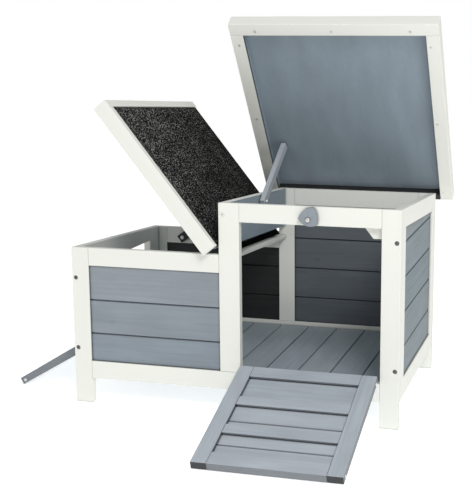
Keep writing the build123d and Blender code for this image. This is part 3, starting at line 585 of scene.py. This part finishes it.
def mineral_felt(bitumen, granule, selvedge_and_shade=False):
    """Bitumen felt faced with mineral granules: black with a scatter of light grains that catch light."""
    material, tree = bare_material("mineral_faced_felt")
    place = add(tree, "ShaderNodeTexCoord")
    # Real granules are near 1 mm. They are drawn as dots up to 2 mm wide, so that grains show in a picture
    grains = add(
        tree, "ShaderNodeTexVoronoi", settings={"Scale": 1.0 / (1.8 * MM)},
        links={"Vector": place.outputs["Object"]},
    )
    dots = add(
        tree, "ShaderNodeMapRange", links={"Value": grains.outputs["Distance"]},
        settings={"From Min": 0.3, "From Max": 0.55, "To Min": 1.0, "To Max": 0.0},
    )
    one = add(tree, "ShaderNodeSeparateColor", links={"Color": grains.outputs["Color"]})
    tones = add(tree, "ShaderNodeValToRGB", links={"Fac": one.outputs["Red"]})
    set_stops(tones, [
        (0.0, bitumen),
        (0.5, scaled(granule, 0.07)),
        (0.8, scaled(granule, 0.3)),
        (0.93, scaled(granule, 0.95)),
        (1.0, granule),
    ])
    # The granules are sown unevenly, in clouds some 45 mm across
    sown = add(
        tree, "ShaderNodeTexNoise", settings={"Scale": 1.0 / (45 * MM), "Detail": 3.0},
        links={"Vector": place.outputs["Object"]},
    )
    density = add(
        tree, "ShaderNodeMapRange", links={"Value": sown.outputs["Fac"]},
        settings={"From Min": 0.3, "From Max": 0.7, "To Min": 0.7, "To Max": 1.25},
    )
    shown = add(
        tree, "ShaderNodeMath", operation="MULTIPLY",
        links={0: density.outputs["Result"], 1: dots.outputs["Result"]},
    )
    cover = shown.outputs["Value"]
    if selvedge_and_shade:
        # The strip over the hinge has no granules, as a roofer's selvedge, which goes under another sheet,
        # has none; there it is also painted shade where the felt runs into the slot. Above it the granules
        # thin out towards the hinge and its back end: painted shade, darker towards the bottom and the back
        hinge = drawn(*LOW_HINGE_LINE)
        bare = hinge.dot(LOW_SLOPE) - 4 * MM
        shade_way = LOW_SLOPE + LOW_AXIS
        lightest_at = (hinge - LOW_SLOPE * 300 * MM).dot(shade_way)
        darkest_at = (hinge + LOW_AXIS * 410 * MM).dot(shade_way)
        for way, start, end, first, last in (
            (LOW_SLOPE, bare - MM, bare, 1.0, 0.06), (shade_way, lightest_at, darkest_at, 1.45, 0.2),
        ):
            along = add(
                tree, "ShaderNodeVectorMath", operation="DOT_PRODUCT",
                links={0: place.outputs["Object"]}, settings={1: way},
            )
            left = add(
                tree, "ShaderNodeMapRange", links={"Value": along.outputs["Value"]},
                settings={"From Min": start, "From Max": end, "To Min": first, "To Max": last},
            )
            kept = add(
                tree, "ShaderNodeMath", operation="MULTIPLY",
                links={0: cover, 1: left.outputs["Result"]},
            )
            cover = kept.outputs["Value"]
    sheet = add(
        tree, "ShaderNodeVectorMath", operation="SCALE",
        links={0: tones.outputs["Color"], "Scale": cover},
    )
    relief = add(
        tree, "ShaderNodeBump", invert=True, links={"Height": grains.outputs["Distance"]},
        settings={"Strength": 0.8, "Distance": 0.6 * MM},
    )
    glint = add(
        tree, "ShaderNodeMapRange", links={"Value": one.outputs["Green"]},
        settings={"To Min": 1.0, "To Max": 0.8},
    )
    # The granules shade one another, so the sheet reflects far less than smooth bitumen would
    shader = add(
        tree, "ShaderNodeBsdfPrincipled", settings={"IOR": 1.5, "Specular IOR Level": 0.03},
        links={
            "Base Color": sheet.outputs["Vector"],
            "Roughness": glint.outputs["Result"],
            "Normal": relief.outputs["Normal"],
        },
    )
    finish_surface(tree, shader)
    return material


def plated_steel(name, colour):
    """Plated steel: metallic and faintly clouded, with painted shade in its recesses."""
    made = bpy.data.materials.get(name)
    if made:
        return made
    material, tree = bare_material(name)
    place = add(tree, "ShaderNodeTexCoord")
    # Plating clouds about 3 mm across
    cloud = add(
        tree, "ShaderNodeTexNoise", settings={"Scale": 1.0 / (3 * MM), "Detail": 3.0},
        links={"Vector": place.outputs["Object"]},
    )
    tone = add(tree, "ShaderNodeValToRGB", links={"Fac": cloud.outputs["Fac"]})
    set_stops(tone, [(0.3, scaled(colour, 0.86)), (0.7, colour)])
    # A recess is narrow, so its painted shade reaches about a millimetre
    joint_shaded = painted_joint_shade(tree, tone.outputs["Color"], 1.2 * MM, 0.3)
    dull = add(
        tree, "ShaderNodeMapRange", links={"Value": cloud.outputs["Fac"]},
        settings={"To Min": 0.26, "To Max": 0.46},
    )
    shader = add(
        tree, "ShaderNodeBsdfPrincipled", settings={"Metallic": 1.0},
        links={"Base Color": joint_shaded.outputs["Vector"], "Roughness": dull.outputs["Result"]},
    )
    finish_surface(tree, shader)
    return material


def dress(node_name, material, edge, held_in):
    """Puts a material on a CAD node and eases its sharp edges; held_in keeps small faces whole."""
    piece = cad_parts[node_name]
    piece.data.materials.clear()
    piece.data.materials.append(material)
    weld = piece.modifiers.new("weld", "WELD")
    weld.merge_threshold = 0.005 * MM
    flat = piece.modifiers.new("flat_faces", "DECIMATE")
    flat.decimate_type = "DISSOLVE"
    flat.angle_limit = math.radians(0.5)
    eased = piece.modifiers.new("eased_edges", "BEVEL")
    eased.width = edge
    eased.segments = 2
    eased.limit_method = "ANGLE"
    eased.angle_limit = math.radians(40.0)
    eased.use_clamp_overlap = held_in
    shaded = piece.modifiers.new("flat_shading", "WEIGHTED_NORMAL")
    shaded.keep_sharp = False
    shaded.weight = 100


def dress_wood(context, nodes, make):
    """Dresses wooden nodes with one material for each grain direction."""
    sizes = context.scene.hutch_sizes
    made = {}
    for node_name, direction in nodes.items():
        key = tuple(round(part, 4) for part in direction)
        if key not in made:
            made[key] = make(direction)
        thin = node_name in THIN_EDGED
        dress(node_name, made[key], sizes.plank_edge if thin else sizes.board_edge, thin)


def facing(point, normal, turn=0.0):
    """A matrix at point with Z along normal, turned about it."""
    out = Vector(normal).normalized()
    side = out.orthogonal().normalized()
    base = Matrix((side, out.cross(side), out)).transposed().to_4x4()
    return Matrix.Translation(point) @ base @ Matrix.Rotation(turn, 4, "Z")


def screw(bm, place, radius, height, shank, depth):
    """A pan head with a tapered cross recess on a plain shank, driven down the Z of place."""
    arm = CROSS_ARM * radius
    half = CROSS_HALF_WIDTH * radius
    corner = ((arm, -half), (arm, half), (half, half))
    cross = []
    for quarter in range(4):
        c, s = ((1, 0), (0, 1), (-1, 0), (0, -1))[quarter]
        cross += [(c * x - s * y, s * x + c * y) for x, y in corner]
    angles = []
    for (x, y), (next_x, next_y) in zip(cross, cross[1:] + cross[:1]):
        angles.append(math.atan2(y, x))
        angles.append(math.atan2(y + next_y, x + next_x))

    def ring(ring_radius, z):
        return [
            bm.verts.new(place @ Vector((ring_radius * math.cos(a), ring_radius * math.sin(a), z)))
            for a in angles
        ]

    def band(upper, lower):
        for step in range(len(upper)):
            after = (step + 1) % len(upper)
            bm.faces.new((upper[step], lower[step], lower[after], upper[after]))

    lip = [bm.verts.new(place @ Vector((x, y, height))) for x, y in cross]
    pit = [
        bm.verts.new(place @ Vector((x * CROSS_TAPER, y * CROSS_TAPER, height * CROSS_FLOOR)))
        for x, y in cross
    ]
    band(lip, pit)
    for quarter in range(4):
        tip, far_tip, inner = (pit[3 * quarter + step] for step in range(3))
        bm.faces.new((pit[3 * quarter - 1], tip, far_tip, inner))
    bm.faces.new([pit[place_in] for place_in in (2, 5, 8, 11)])
    rows = [ring(across * radius, up * height) for across, up in HEAD_OUTLINE]
    crown = rows[0]
    for step in range(len(lip)):
        after = (step + 1) % len(lip)
        start, middle = crown[2 * step], crown[2 * step + 1]
        end = crown[(2 * step + 2) % len(crown)]
        bm.faces.new((lip[step], start, middle))
        bm.faces.new((lip[step], middle, lip[after]))
        bm.faces.new((lip[after], middle, end))
    rows += [ring(shank, 0.0), ring(shank, shank - depth), ring(SHANK_END * shank, -depth)]
    for upper, lower in zip(rows, rows[1:]):
        band(upper, lower)
    bm.faces.new(rows[-1])


def fixings(name, screws, body, context, slot="zinc_plated_steel", replaced=None):
    """One object of screws: each a matrix, a head's radius and height, and a shank's radius and depth."""
    bm = bmesh.new()
    for size in screws:
        screw(bm, *size)
    bmesh.ops.recalc_face_normals(bm, faces=bm.faces)
    for face in bm.faces:
        face.smooth = True
    mesh = bpy.data.meshes.new(name)
    bm.to_mesh(mesh)
    bm.free()
    mesh.set_sharp_from_angle(angle=math.radians(35.0))
    colours = context.scene.hutch_colours
    colour = colours.zinc if slot == "zinc_plated_steel" else colours.phosphate
    mesh.materials.append(plated_steel(slot, colour))
    piece = bpy.data.objects.new(name, mesh)
    context.scene.collection.objects.link(piece)
    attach(piece, body)
    if replaced:
        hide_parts(replaced)


class HUTCH_OT_paint_frame(bpy.types.Operator):
    """Paint the frame, posts and low roof edges white"""

    bl_idname = "hutch.paint_frame"
    bl_label = "Painted frame"

    def execute(self, context):
        colour = context.scene.hutch_colours.white
        dress_wood(context, WHITE_NODES, lambda direction: painted_pine(colour, direction))
        return {"FINISHED"}


class HUTCH_OT_paint_roof_rails(bpy.types.Operator):
    """Paint the tower roof's rails white outside and glaze their inner faces"""

    bl_idname = "hutch.paint_roof_rails"
    bl_label = "Tower roof rails"

    def execute(self, context):
        colours = context.scene.hutch_colours
        for node_name, (direction, inner_side) in ROOF_RAILS.items():
            material = painted_pine(colours.white, direction, colours.deck_grey, inner_side)
            dress(node_name, material, context.scene.hutch_sizes.board_edge, False)
        return {"FINISHED"}


class HUTCH_OT_glaze_planks(bpy.types.Operator):
    """Glaze the wall planks and turn buttons grey"""

    bl_idname = "hutch.glaze_planks"
    bl_label = "Wall planks and buttons"

    def execute(self, context):
        colours = context.scene.hutch_colours
        walls = (
            (FRONT_WALL_NODES, colours.grey, (6.0, 0.1)),
            # The right wall takes the darker glaze, which is painted shade, and deeper painted shade in its
            # joints
            (RIGHT_WALL_NODES, colours.shaded_right_grey, (9.0, 0.02)),
        )
        for nodes, colour, joint in walls:
            dress_wood(
                context, nodes,
                lambda direction: glazed_pine(
                    "grey_glazed_pine", colour, direction, 0.11, 0.1, joint=joint, end=0.7
                ),
            )
        return {"FINISHED"}


class HUTCH_OT_glaze_decks(bpy.types.Operator):
    """Glaze the smooth roof decks and the tower's left panel"""

    bl_idname = "hutch.glaze_decks"
    bl_label = "Roof decks"

    def execute(self, context):
        colours = context.scene.hutch_colours
        for nodes, rim in ((DECK_NODES, None), (PANEL_NODES, colours.white)):
            dress_wood(
                context, nodes,
                lambda direction: glazed_pine(
                    "grey_glazed_board", colours.deck_grey, direction, 0.04, 0.0, 1.5,
                    joint=(6.0, 1.0), rim=rim,
                ),
            )
        return {"FINISHED"}


class HUTCH_OT_glaze_ramps(bpy.types.Operator):
    """Glaze both ramps light grey, darker on their sawn edges"""

    bl_idname = "hutch.glaze_ramps"
    bl_label = "Ramps"

    def execute(self, context):
        colour = context.scene.hutch_colours.ramp_grey
        for nodes, face in ((FRONT_RAMP_NODES, FRONT_RAMP_OUT), (SIDE_RAMP_NODES, SIDE_RAMP_OUT)):
            dress_wood(
                context, nodes,
                lambda direction: glazed_pine(
                    "light_grey_glazed_pine", colour, direction, 0.1, 0.05, face=face, joint=(4.0, 0.1)
                ),
            )
        return {"FINISHED"}


class HUTCH_OT_glaze_floor(bpy.types.Operator):
    """Glaze the floor and the tower's prop stick light grey"""

    bl_idname = "hutch.glaze_floor"
    bl_label = "Floor and stick"

    def execute(self, context):
        colours = context.scene.hutch_colours
        for nodes, colour in ((FLOOR_NODES, colours.floor_grey), (STICK_NODES, colours.stick_grey)):
            dress_wood(
                context, nodes,
                lambda direction: glazed_pine(
                    "light_grey_glazed_pine", colour, direction, 0.1, 0.05, end=0.7
                ),
            )
        return {"FINISHED"}


class HUTCH_OT_glaze_back_wall(bpy.types.Operator):
    """Glaze the planks of the tower's back wall dark grey"""

    bl_idname = "hutch.glaze_back_wall"
    bl_label = "Tower back wall"

    def execute(self, context):
        colour = context.scene.hutch_colours.dark_grey
        dress_wood(
            context, DARK_GREY_NODES,
            lambda direction: glazed_pine("dark_grey_glazed_pine", colour, direction, 0.16, 0.06),
        )
        return {"FINISHED"}


class HUTCH_OT_stain_wood(bpy.types.Operator):
    """Stain the low back wall, the low prop stick and the tower roof's back rail dark"""

    bl_idname = "hutch.stain_wood"
    bl_label = "Stained wood"

    def execute(self, context):
        colour = context.scene.hutch_colours.stain
        dress_wood(
            context, STAINED_NODES,
            lambda direction: glazed_pine("dark_stained_pine", colour, direction, 0.25, 0.06),
        )
        return {"FINISHED"}


class HUTCH_OT_lay_felt(bpy.types.Operator):
    """Face both roofs with mineral felt; the low roof's bare selvedge over its hinge and its thinning
    granules are painted shade
    """

    bl_idname = "hutch.lay_felt"
    bl_label = "Roofing felt"

    def execute(self, context):
        colours = context.scene.hutch_colours
        edge = context.scene.hutch_sizes.felt_edge
        dress("tower_roof_felt", mineral_felt(colours.felt, colours.granule), edge, True)
        dress("low_roof_felt", mineral_felt(colours.felt, colours.granule, True), edge, True)
        return {"FINISHED"}


class HUTCH_OT_plate_hinges(bpy.types.Operator):
    """Plate the hinges with zinc"""

    bl_idname = "hutch.plate_hinges"
    bl_label = "Hinges"

    def execute(self, context):
        material = plated_steel("zinc_plated_sheet", context.scene.hutch_colours.sheet)
        for node_name in HINGE_NODES:
            dress(node_name, material, context.scene.hutch_sizes.plate_edge, True)
        return {"FINISHED"}


class HUTCH_OT_drive_frame_screws(bpy.types.Operator):
    """Drive the ten sunk screws of the frame, with their recesses"""

    bl_idname = "hutch.drive_frame_screws"
    bl_label = "Frame screws"

    def execute(self, context):
        seat, radius, height, shank, depth = (v * MM for v in (3.6, 4.0, 2.4, 2.0, 38.0))
        screws = []
        for count, (place, inwards) in enumerate(FRAME_SCREW_PLACES):
            spot = drawn(*place) + inwards * seat
            screws.append((facing(spot, -inwards, 0.7 * count), radius, height, shank, depth))
        fixings("frame_screw_set", screws, "hutch", context, "blackened_steel", "frame_screws")
        return {"FINISHED"}


class HUTCH_OT_fill_panel_holes(bpy.types.Operator):
    """Fill the holes over the two screws of the tower's left panel with painted plugs"""

    bl_idname = "hutch.fill_panel_holes"
    bl_label = "Hole plugs"

    def execute(self, context):
        # Thin enough to stay in front of the screw's head, which starts 1.2 mm in
        radius, thickness, sunk, chamfer, hole = (v * MM for v in (4.05, 0.8, 0.2, 0.15, 1.3))
        bm = bmesh.new()
        for place, inwards in (FRAME_SCREW_PLACES[row] for row in PANEL_SCREW_ROWS):
            middle = drawn(*place) + inwards * (sunk + 0.5 * thickness)
            disc = bmesh.ops.create_cone(
                bm, cap_ends=True, segments=32, radius1=radius, radius2=radius, depth=thickness,
                matrix=facing(middle, -inwards),
            )
            bm.normal_update()
            sides = {face for vert in disc["verts"] for face in vert.link_faces}
            shown, hidden = (
                max(sides, key=lambda face: face.normal.dot(way)) for way in (-inwards, inwards)
            )
            # A chamfered rim, and a small hole that shows the dark screw behind
            for inset, rise in ((chamfer, chamfer), (radius - chamfer - hole, 0.0)):
                bmesh.ops.inset_individual(bm, faces=[shown], thickness=inset, depth=rise)
            bmesh.ops.inset_individual(bm, faces=[hidden], thickness=radius - hole)
            mouths = [*shown.edges, *hidden.edges]
            bmesh.ops.delete(bm, geom=[shown, hidden], context="FACES_ONLY")
            bmesh.ops.bridge_loops(bm, edges=mouths)
        mesh = bpy.data.meshes.new("hole_plugs")
        bm.to_mesh(mesh)
        bm.free()
        mesh.materials.append(painted_pine(context.scene.hutch_colours.white, UP))
        plugs = bpy.data.objects.new("hole_plugs", mesh)
        context.scene.collection.objects.link(plugs)
        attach(plugs, "hutch")
        return {"FINISHED"}


class HUTCH_OT_drive_pivot_screws(bpy.types.Operator):
    """Drive the pivot screws of the props and turn buttons, with their recesses"""

    bl_idname = "hutch.drive_pivot_screws"
    bl_label = "Pivot screws"

    def execute(self, context):
        radius, height, shank, depth = (v * MM for v in (4.2, 2.4, 2.0, 11.0))
        screws = []
        for count, (place, outwards, stand_off) in enumerate(PIVOT_PLACES):
            spot = drawn(*place) + outwards * stand_off * MM
            reach = depth + stand_off * MM
            screws.append((facing(spot, outwards, 0.4 + count), radius, height, shank, reach))
        fixings("pivot_screw_set", screws, "hutch", context, replaced="pivot_screws")
        return {"FINISHED"}


class HUTCH_OT_drive_roof_screws(bpy.types.Operator):
    """Drive the nine screws that show under the tower roof's rails"""

    bl_idname = "hutch.drive_roof_screws"
    bl_label = "Roof screws"

    def execute(self, context):
        radius = context.scene.hutch_sizes.roof_screw
        # Flat enough to clear the cabinet's top when the roof is closed
        height, depth = 0.18 * radius, 12.0 * MM
        under = ROOF_RAIL_LIFT * MM
        screws = []
        for count, (along, down) in enumerate(ROOF_SCREW_PLACES):
            spot = drawn(*TOWER_HINGE_LINE) + ACROSS * along * MM + TOWER_SLOPE * down * MM
            spot += TOWER_OUT * under
            screws.append((facing(spot, -TOWER_OUT, 1.3 * count), radius, height, SHANK * radius, depth))
        fixings("roof_screws", screws, "tower_roof", context)
        return {"FINISHED"}


class HUTCH_OT_drive_ramp_screws(bpy.types.Operator):
    """Drive the screws that hold each ramp's stiles to its rails"""

    bl_idname = "hutch.drive_ramp_screws"
    bl_label = "Ramp screws"

    def execute(self, context):
        radius = context.scene.hutch_sizes.ramp_screw
        ramps = (
            (
                "front_ramp", FRONT_RAMP_HINGE, FRONT_RAMP_SLOPE, FRONT_RAMP_OUT, ACROSS,
                FRONT_RAMP_SCREW_RUNS,
            ),
            ("side_ramp", SIDE_RAMP_HINGE, SIDE_RAMP_SLOPE, SIDE_RAMP_OUT, INTO, SIDE_RAMP_SCREW_RUNS),
        )
        height, depth = 0.25 * radius, 30.0 * MM
        for body, hinge, slope, out, sideways, runs in ramps:
            low, high = (Vector(corner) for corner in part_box(body + "_stiles"))
            half = 0.5 * (high - low).dot(sideways)
            screws = []
            for run in runs:
                for side in (-1.0, 1.0):
                    spot = drawn(*hinge) + slope * run * MM + out * RAMP_SCREW_LIFT * MM
                    spot += sideways * side * half
                    place = facing(spot, sideways * side, run + side)
                    screws.append((place, radius, height, SHANK * radius, depth))
            fixings(body + "_screws", screws, body, context)
        return {"FINISHED"}


class HUTCH_OT_drive_hinge_screws(bpy.types.Operator):
    """Drive two screws through every hinge leaf"""

    bl_idname = "hutch.drive_hinge_screws"
    bl_label = "Hinge screws"

    def execute(self, context):
        radius = context.scene.hutch_sizes.hinge_screw
        height, depth = 0.2 * radius, 4.0 * MM
        # Body, hinges, the way the leaf runs and the way it looks, then from the pin in to the wood and
        # along the leaf to the screws
        leaves = (
            ("hutch", FRONT_RAMP_HINGES, -UP, -INTO, 3.0, 10.0),
            ("hutch", SIDE_RAMP_HINGES, -UP, -ACROSS, 3.0, 10.0),
            ("hutch", TOWER_HINGES, -UP, INTO, 3.0, 10.0),
            ("hutch", LOW_HINGES, -ACROSS, LOW_UP, 3.0, 10.0),
            ("tower_roof", TOWER_HINGES, TOWER_SLOPE, -TOWER_OUT, 3.5, 10.0),
            ("low_roof", LOW_HINGES, -LOW_SLOPE, -LOW_OUT, 3.5, 30.0),
            ("front_ramp", FRONT_RAMP_HINGES, FRONT_RAMP_SLOPE, -FRONT_RAMP_OUT, 3.0, 10.0),
            ("side_ramp", SIDE_RAMP_HINGES, SIDE_RAMP_SLOPE, -SIDE_RAMP_OUT, 3.0, 10.0),
        )
        by_body = {}
        for body, centres, along, away, seat, run in leaves:
            pin = along.cross(away)
            for centre in centres:
                for side_way in (-1.0, 1.0):
                    offset = along * run + away * (HINGE_LEAF_THICKNESS - seat)
                    offset += pin * side_way * HINGE_SCREW_SPACING
                    place = facing(drawn(*centre) + offset * MM, away, run + side_way)
                    screws = by_body.setdefault(body, [])
                    screws.append((place, radius, height, SHANK * radius, depth))
        for body, screws in by_body.items():
            fixings(body + "_hinge_screws", screws, body, context)
        return {"FINISHED"}


class HUTCH_OT_set_stage(bpy.types.Operator):
    """Set the pale floor, the soft light and the camera of the picture"""

    bl_idname = "hutch.set_stage"
    bl_label = "Stage"

    def execute(self, context):
        scene = context.scene
        bm = bmesh.new()
        bmesh.ops.create_grid(bm, x_segments=8, y_segments=8, size=scene.hutch_sizes.floor_reach)
        mesh = bpy.data.meshes.new("studio_floor")
        bm.to_mesh(mesh)
        bm.free()
        # Opal acrylic lit faintly from below, which keeps the shadows on it pale
        material, tree = bare_material("opal_acrylic_floor")
        shader = add(
            tree, "ShaderNodeBsdfPrincipled",
            settings={
                "Base Color": (*scene.hutch_colours.floor, 1.0),
                "Roughness": 0.8,
                "Emission Color": (1.0, 1.0, 1.0, 1.0),
                "Emission Strength": 0.6,
            },
        )
        finish_surface(tree, shader)
        mesh.materials.append(material)
        floor = bpy.data.objects.new("studio_floor", mesh)
        scene.collection.objects.link(floor)

        # A white backdrop that lights the hutch less than it shows, as one set far behind does
        world = bpy.data.worlds.new("soft_white_room")
        world.use_nodes = True
        tree = world.node_tree
        tree.nodes.clear()
        path = add(tree, "ShaderNodeLightPath")
        seen = add(
            tree, "ShaderNodeMapRange", links={"Value": path.outputs["Is Camera Ray"]},
            settings={"To Min": 0.42, "To Max": 1.0},
        )
        sky = add(
            tree, "ShaderNodeBackground", links={"Strength": seen.outputs["Result"]},
            settings={"Color": (1.0, 1.0, 1.0, 1.0)},
        )
        add(tree, "ShaderNodeOutputWorld", links={"Surface": sky.outputs["Background"]})
        scene.world = world

        for name, spot, aim, size, power in (
            ("key_softbox", (1.7, -2.4, 2.6), (0.1, 0.0, 0.35), 1.2, 66.0),
            ("overhead_softbox", (0.3, -0.5, 3.2), (0.1, -0.1, 0.3), 2.6, 9.0),
        ):
            lamp = bpy.data.lights.new(name, "AREA")
            lamp.shape = "SQUARE"
            lamp.size = size
            lamp.energy = power
            light = bpy.data.objects.new(name, lamp)
            light.location = spot
            light.rotation_euler = (Vector(aim) - Vector(spot)).to_track_quat("-Z", "Y").to_euler()
            scene.collection.objects.link(light)

        # Solved from the corners of the hutch in the photograph: the lens in its pixels, the eye in mm
        focal, centre_x, centre_y = 1107.89, 310.01, 245.64
        eye = drawn(974.12, -1900.71, 703.39)
        azimuth, elevation, roll = (math.radians(a) for a in (14.75, 10.63, 0.10))
        back = Vector((
            math.sin(azimuth) * math.cos(elevation),
            -math.cos(azimuth) * math.cos(elevation),
            math.sin(elevation),
        ))
        right = (-back).cross(UP).normalized()
        top = right.cross(-back)
        right, top = (
            right * math.cos(roll) + top * math.sin(roll),
            top * math.cos(roll) - right * math.sin(roll),
        )
        lens = bpy.data.cameras.new("camera")
        lens.sensor_fit = "HORIZONTAL"
        lens.lens = focal / PHOTO_WIDTH * lens.sensor_width
        lens.shift_x = (0.5 * PHOTO_WIDTH - centre_x) / PHOTO_WIDTH
        lens.shift_y = (centre_y - 0.5 * PHOTO_HEIGHT) / PHOTO_WIDTH
        lens.clip_start = 0.05
        lens.clip_end = 100.0
        camera = bpy.data.objects.new("camera", lens)
        turn = Matrix((right, top, back)).transposed().to_4x4()
        camera.matrix_world = Matrix.Translation(eye) @ turn
        scene.collection.objects.link(camera)
        scene.camera = camera
        scene.view_settings.view_transform = "Standard"
        scene.view_settings.look = "None"
        return {"FINISHED"}


class HUTCH_PT_panel(bpy.types.Panel):
    """The hutch's looks in the sidebar"""

    bl_idname = "HUTCH_PT_panel"
    bl_label = "Rabbit hutch"
    bl_space_type = "VIEW_3D"
    bl_region_type = "UI"
    bl_category = "Hutch"

    def draw(self, context):
        for operator in OPERATORS:
            self.layout.operator(operator.bl_idname)


OPERATORS = (
    HUTCH_OT_paint_frame,
    HUTCH_OT_paint_roof_rails,
    HUTCH_OT_glaze_planks,
    HUTCH_OT_glaze_decks,
    HUTCH_OT_glaze_ramps,
    HUTCH_OT_glaze_floor,
    HUTCH_OT_glaze_back_wall,
    HUTCH_OT_stain_wood,
    HUTCH_OT_lay_felt,
    HUTCH_OT_plate_hinges,
    HUTCH_OT_drive_frame_screws,
    HUTCH_OT_fill_panel_holes,
    HUTCH_OT_drive_pivot_screws,
    HUTCH_OT_drive_roof_screws,
    HUTCH_OT_drive_ramp_screws,
    HUTCH_OT_drive_hinge_screws,
    HUTCH_OT_set_stage,
)
CLASSES = (HutchSizes, HutchColours, *OPERATORS, HUTCH_PT_panel)


def register():
    for cls in CLASSES:
        bpy.utils.register_class(cls)
    bpy.types.Scene.hutch_sizes = PointerProperty(type=HutchSizes)
    bpy.types.Scene.hutch_colours = PointerProperty(type=HutchColours)


def unregister():
    del bpy.types.Scene.hutch_colours
    del bpy.types.Scene.hutch_sizes
    for cls in reversed(CLASSES):
        bpy.utils.unregister_class(cls)


def main():
    register()
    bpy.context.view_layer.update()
    bpy.ops.hutch.paint_frame()
    bpy.ops.hutch.paint_roof_rails()
    bpy.ops.hutch.glaze_planks()
    bpy.ops.hutch.glaze_decks()
    bpy.ops.hutch.glaze_ramps()
    bpy.ops.hutch.glaze_floor()
    bpy.ops.hutch.glaze_back_wall()
    bpy.ops.hutch.stain_wood()
    bpy.ops.hutch.lay_felt()
    bpy.ops.hutch.plate_hinges()
    bpy.ops.hutch.drive_frame_screws()
    bpy.ops.hutch.fill_panel_holes()
    bpy.ops.hutch.drive_pivot_screws()
    bpy.ops.hutch.drive_roof_screws()
    bpy.ops.hutch.drive_ramp_screws()
    bpy.ops.hutch.drive_hinge_screws()
    bpy.ops.hutch.set_stage()


if __name__ == "__main__":
    main()
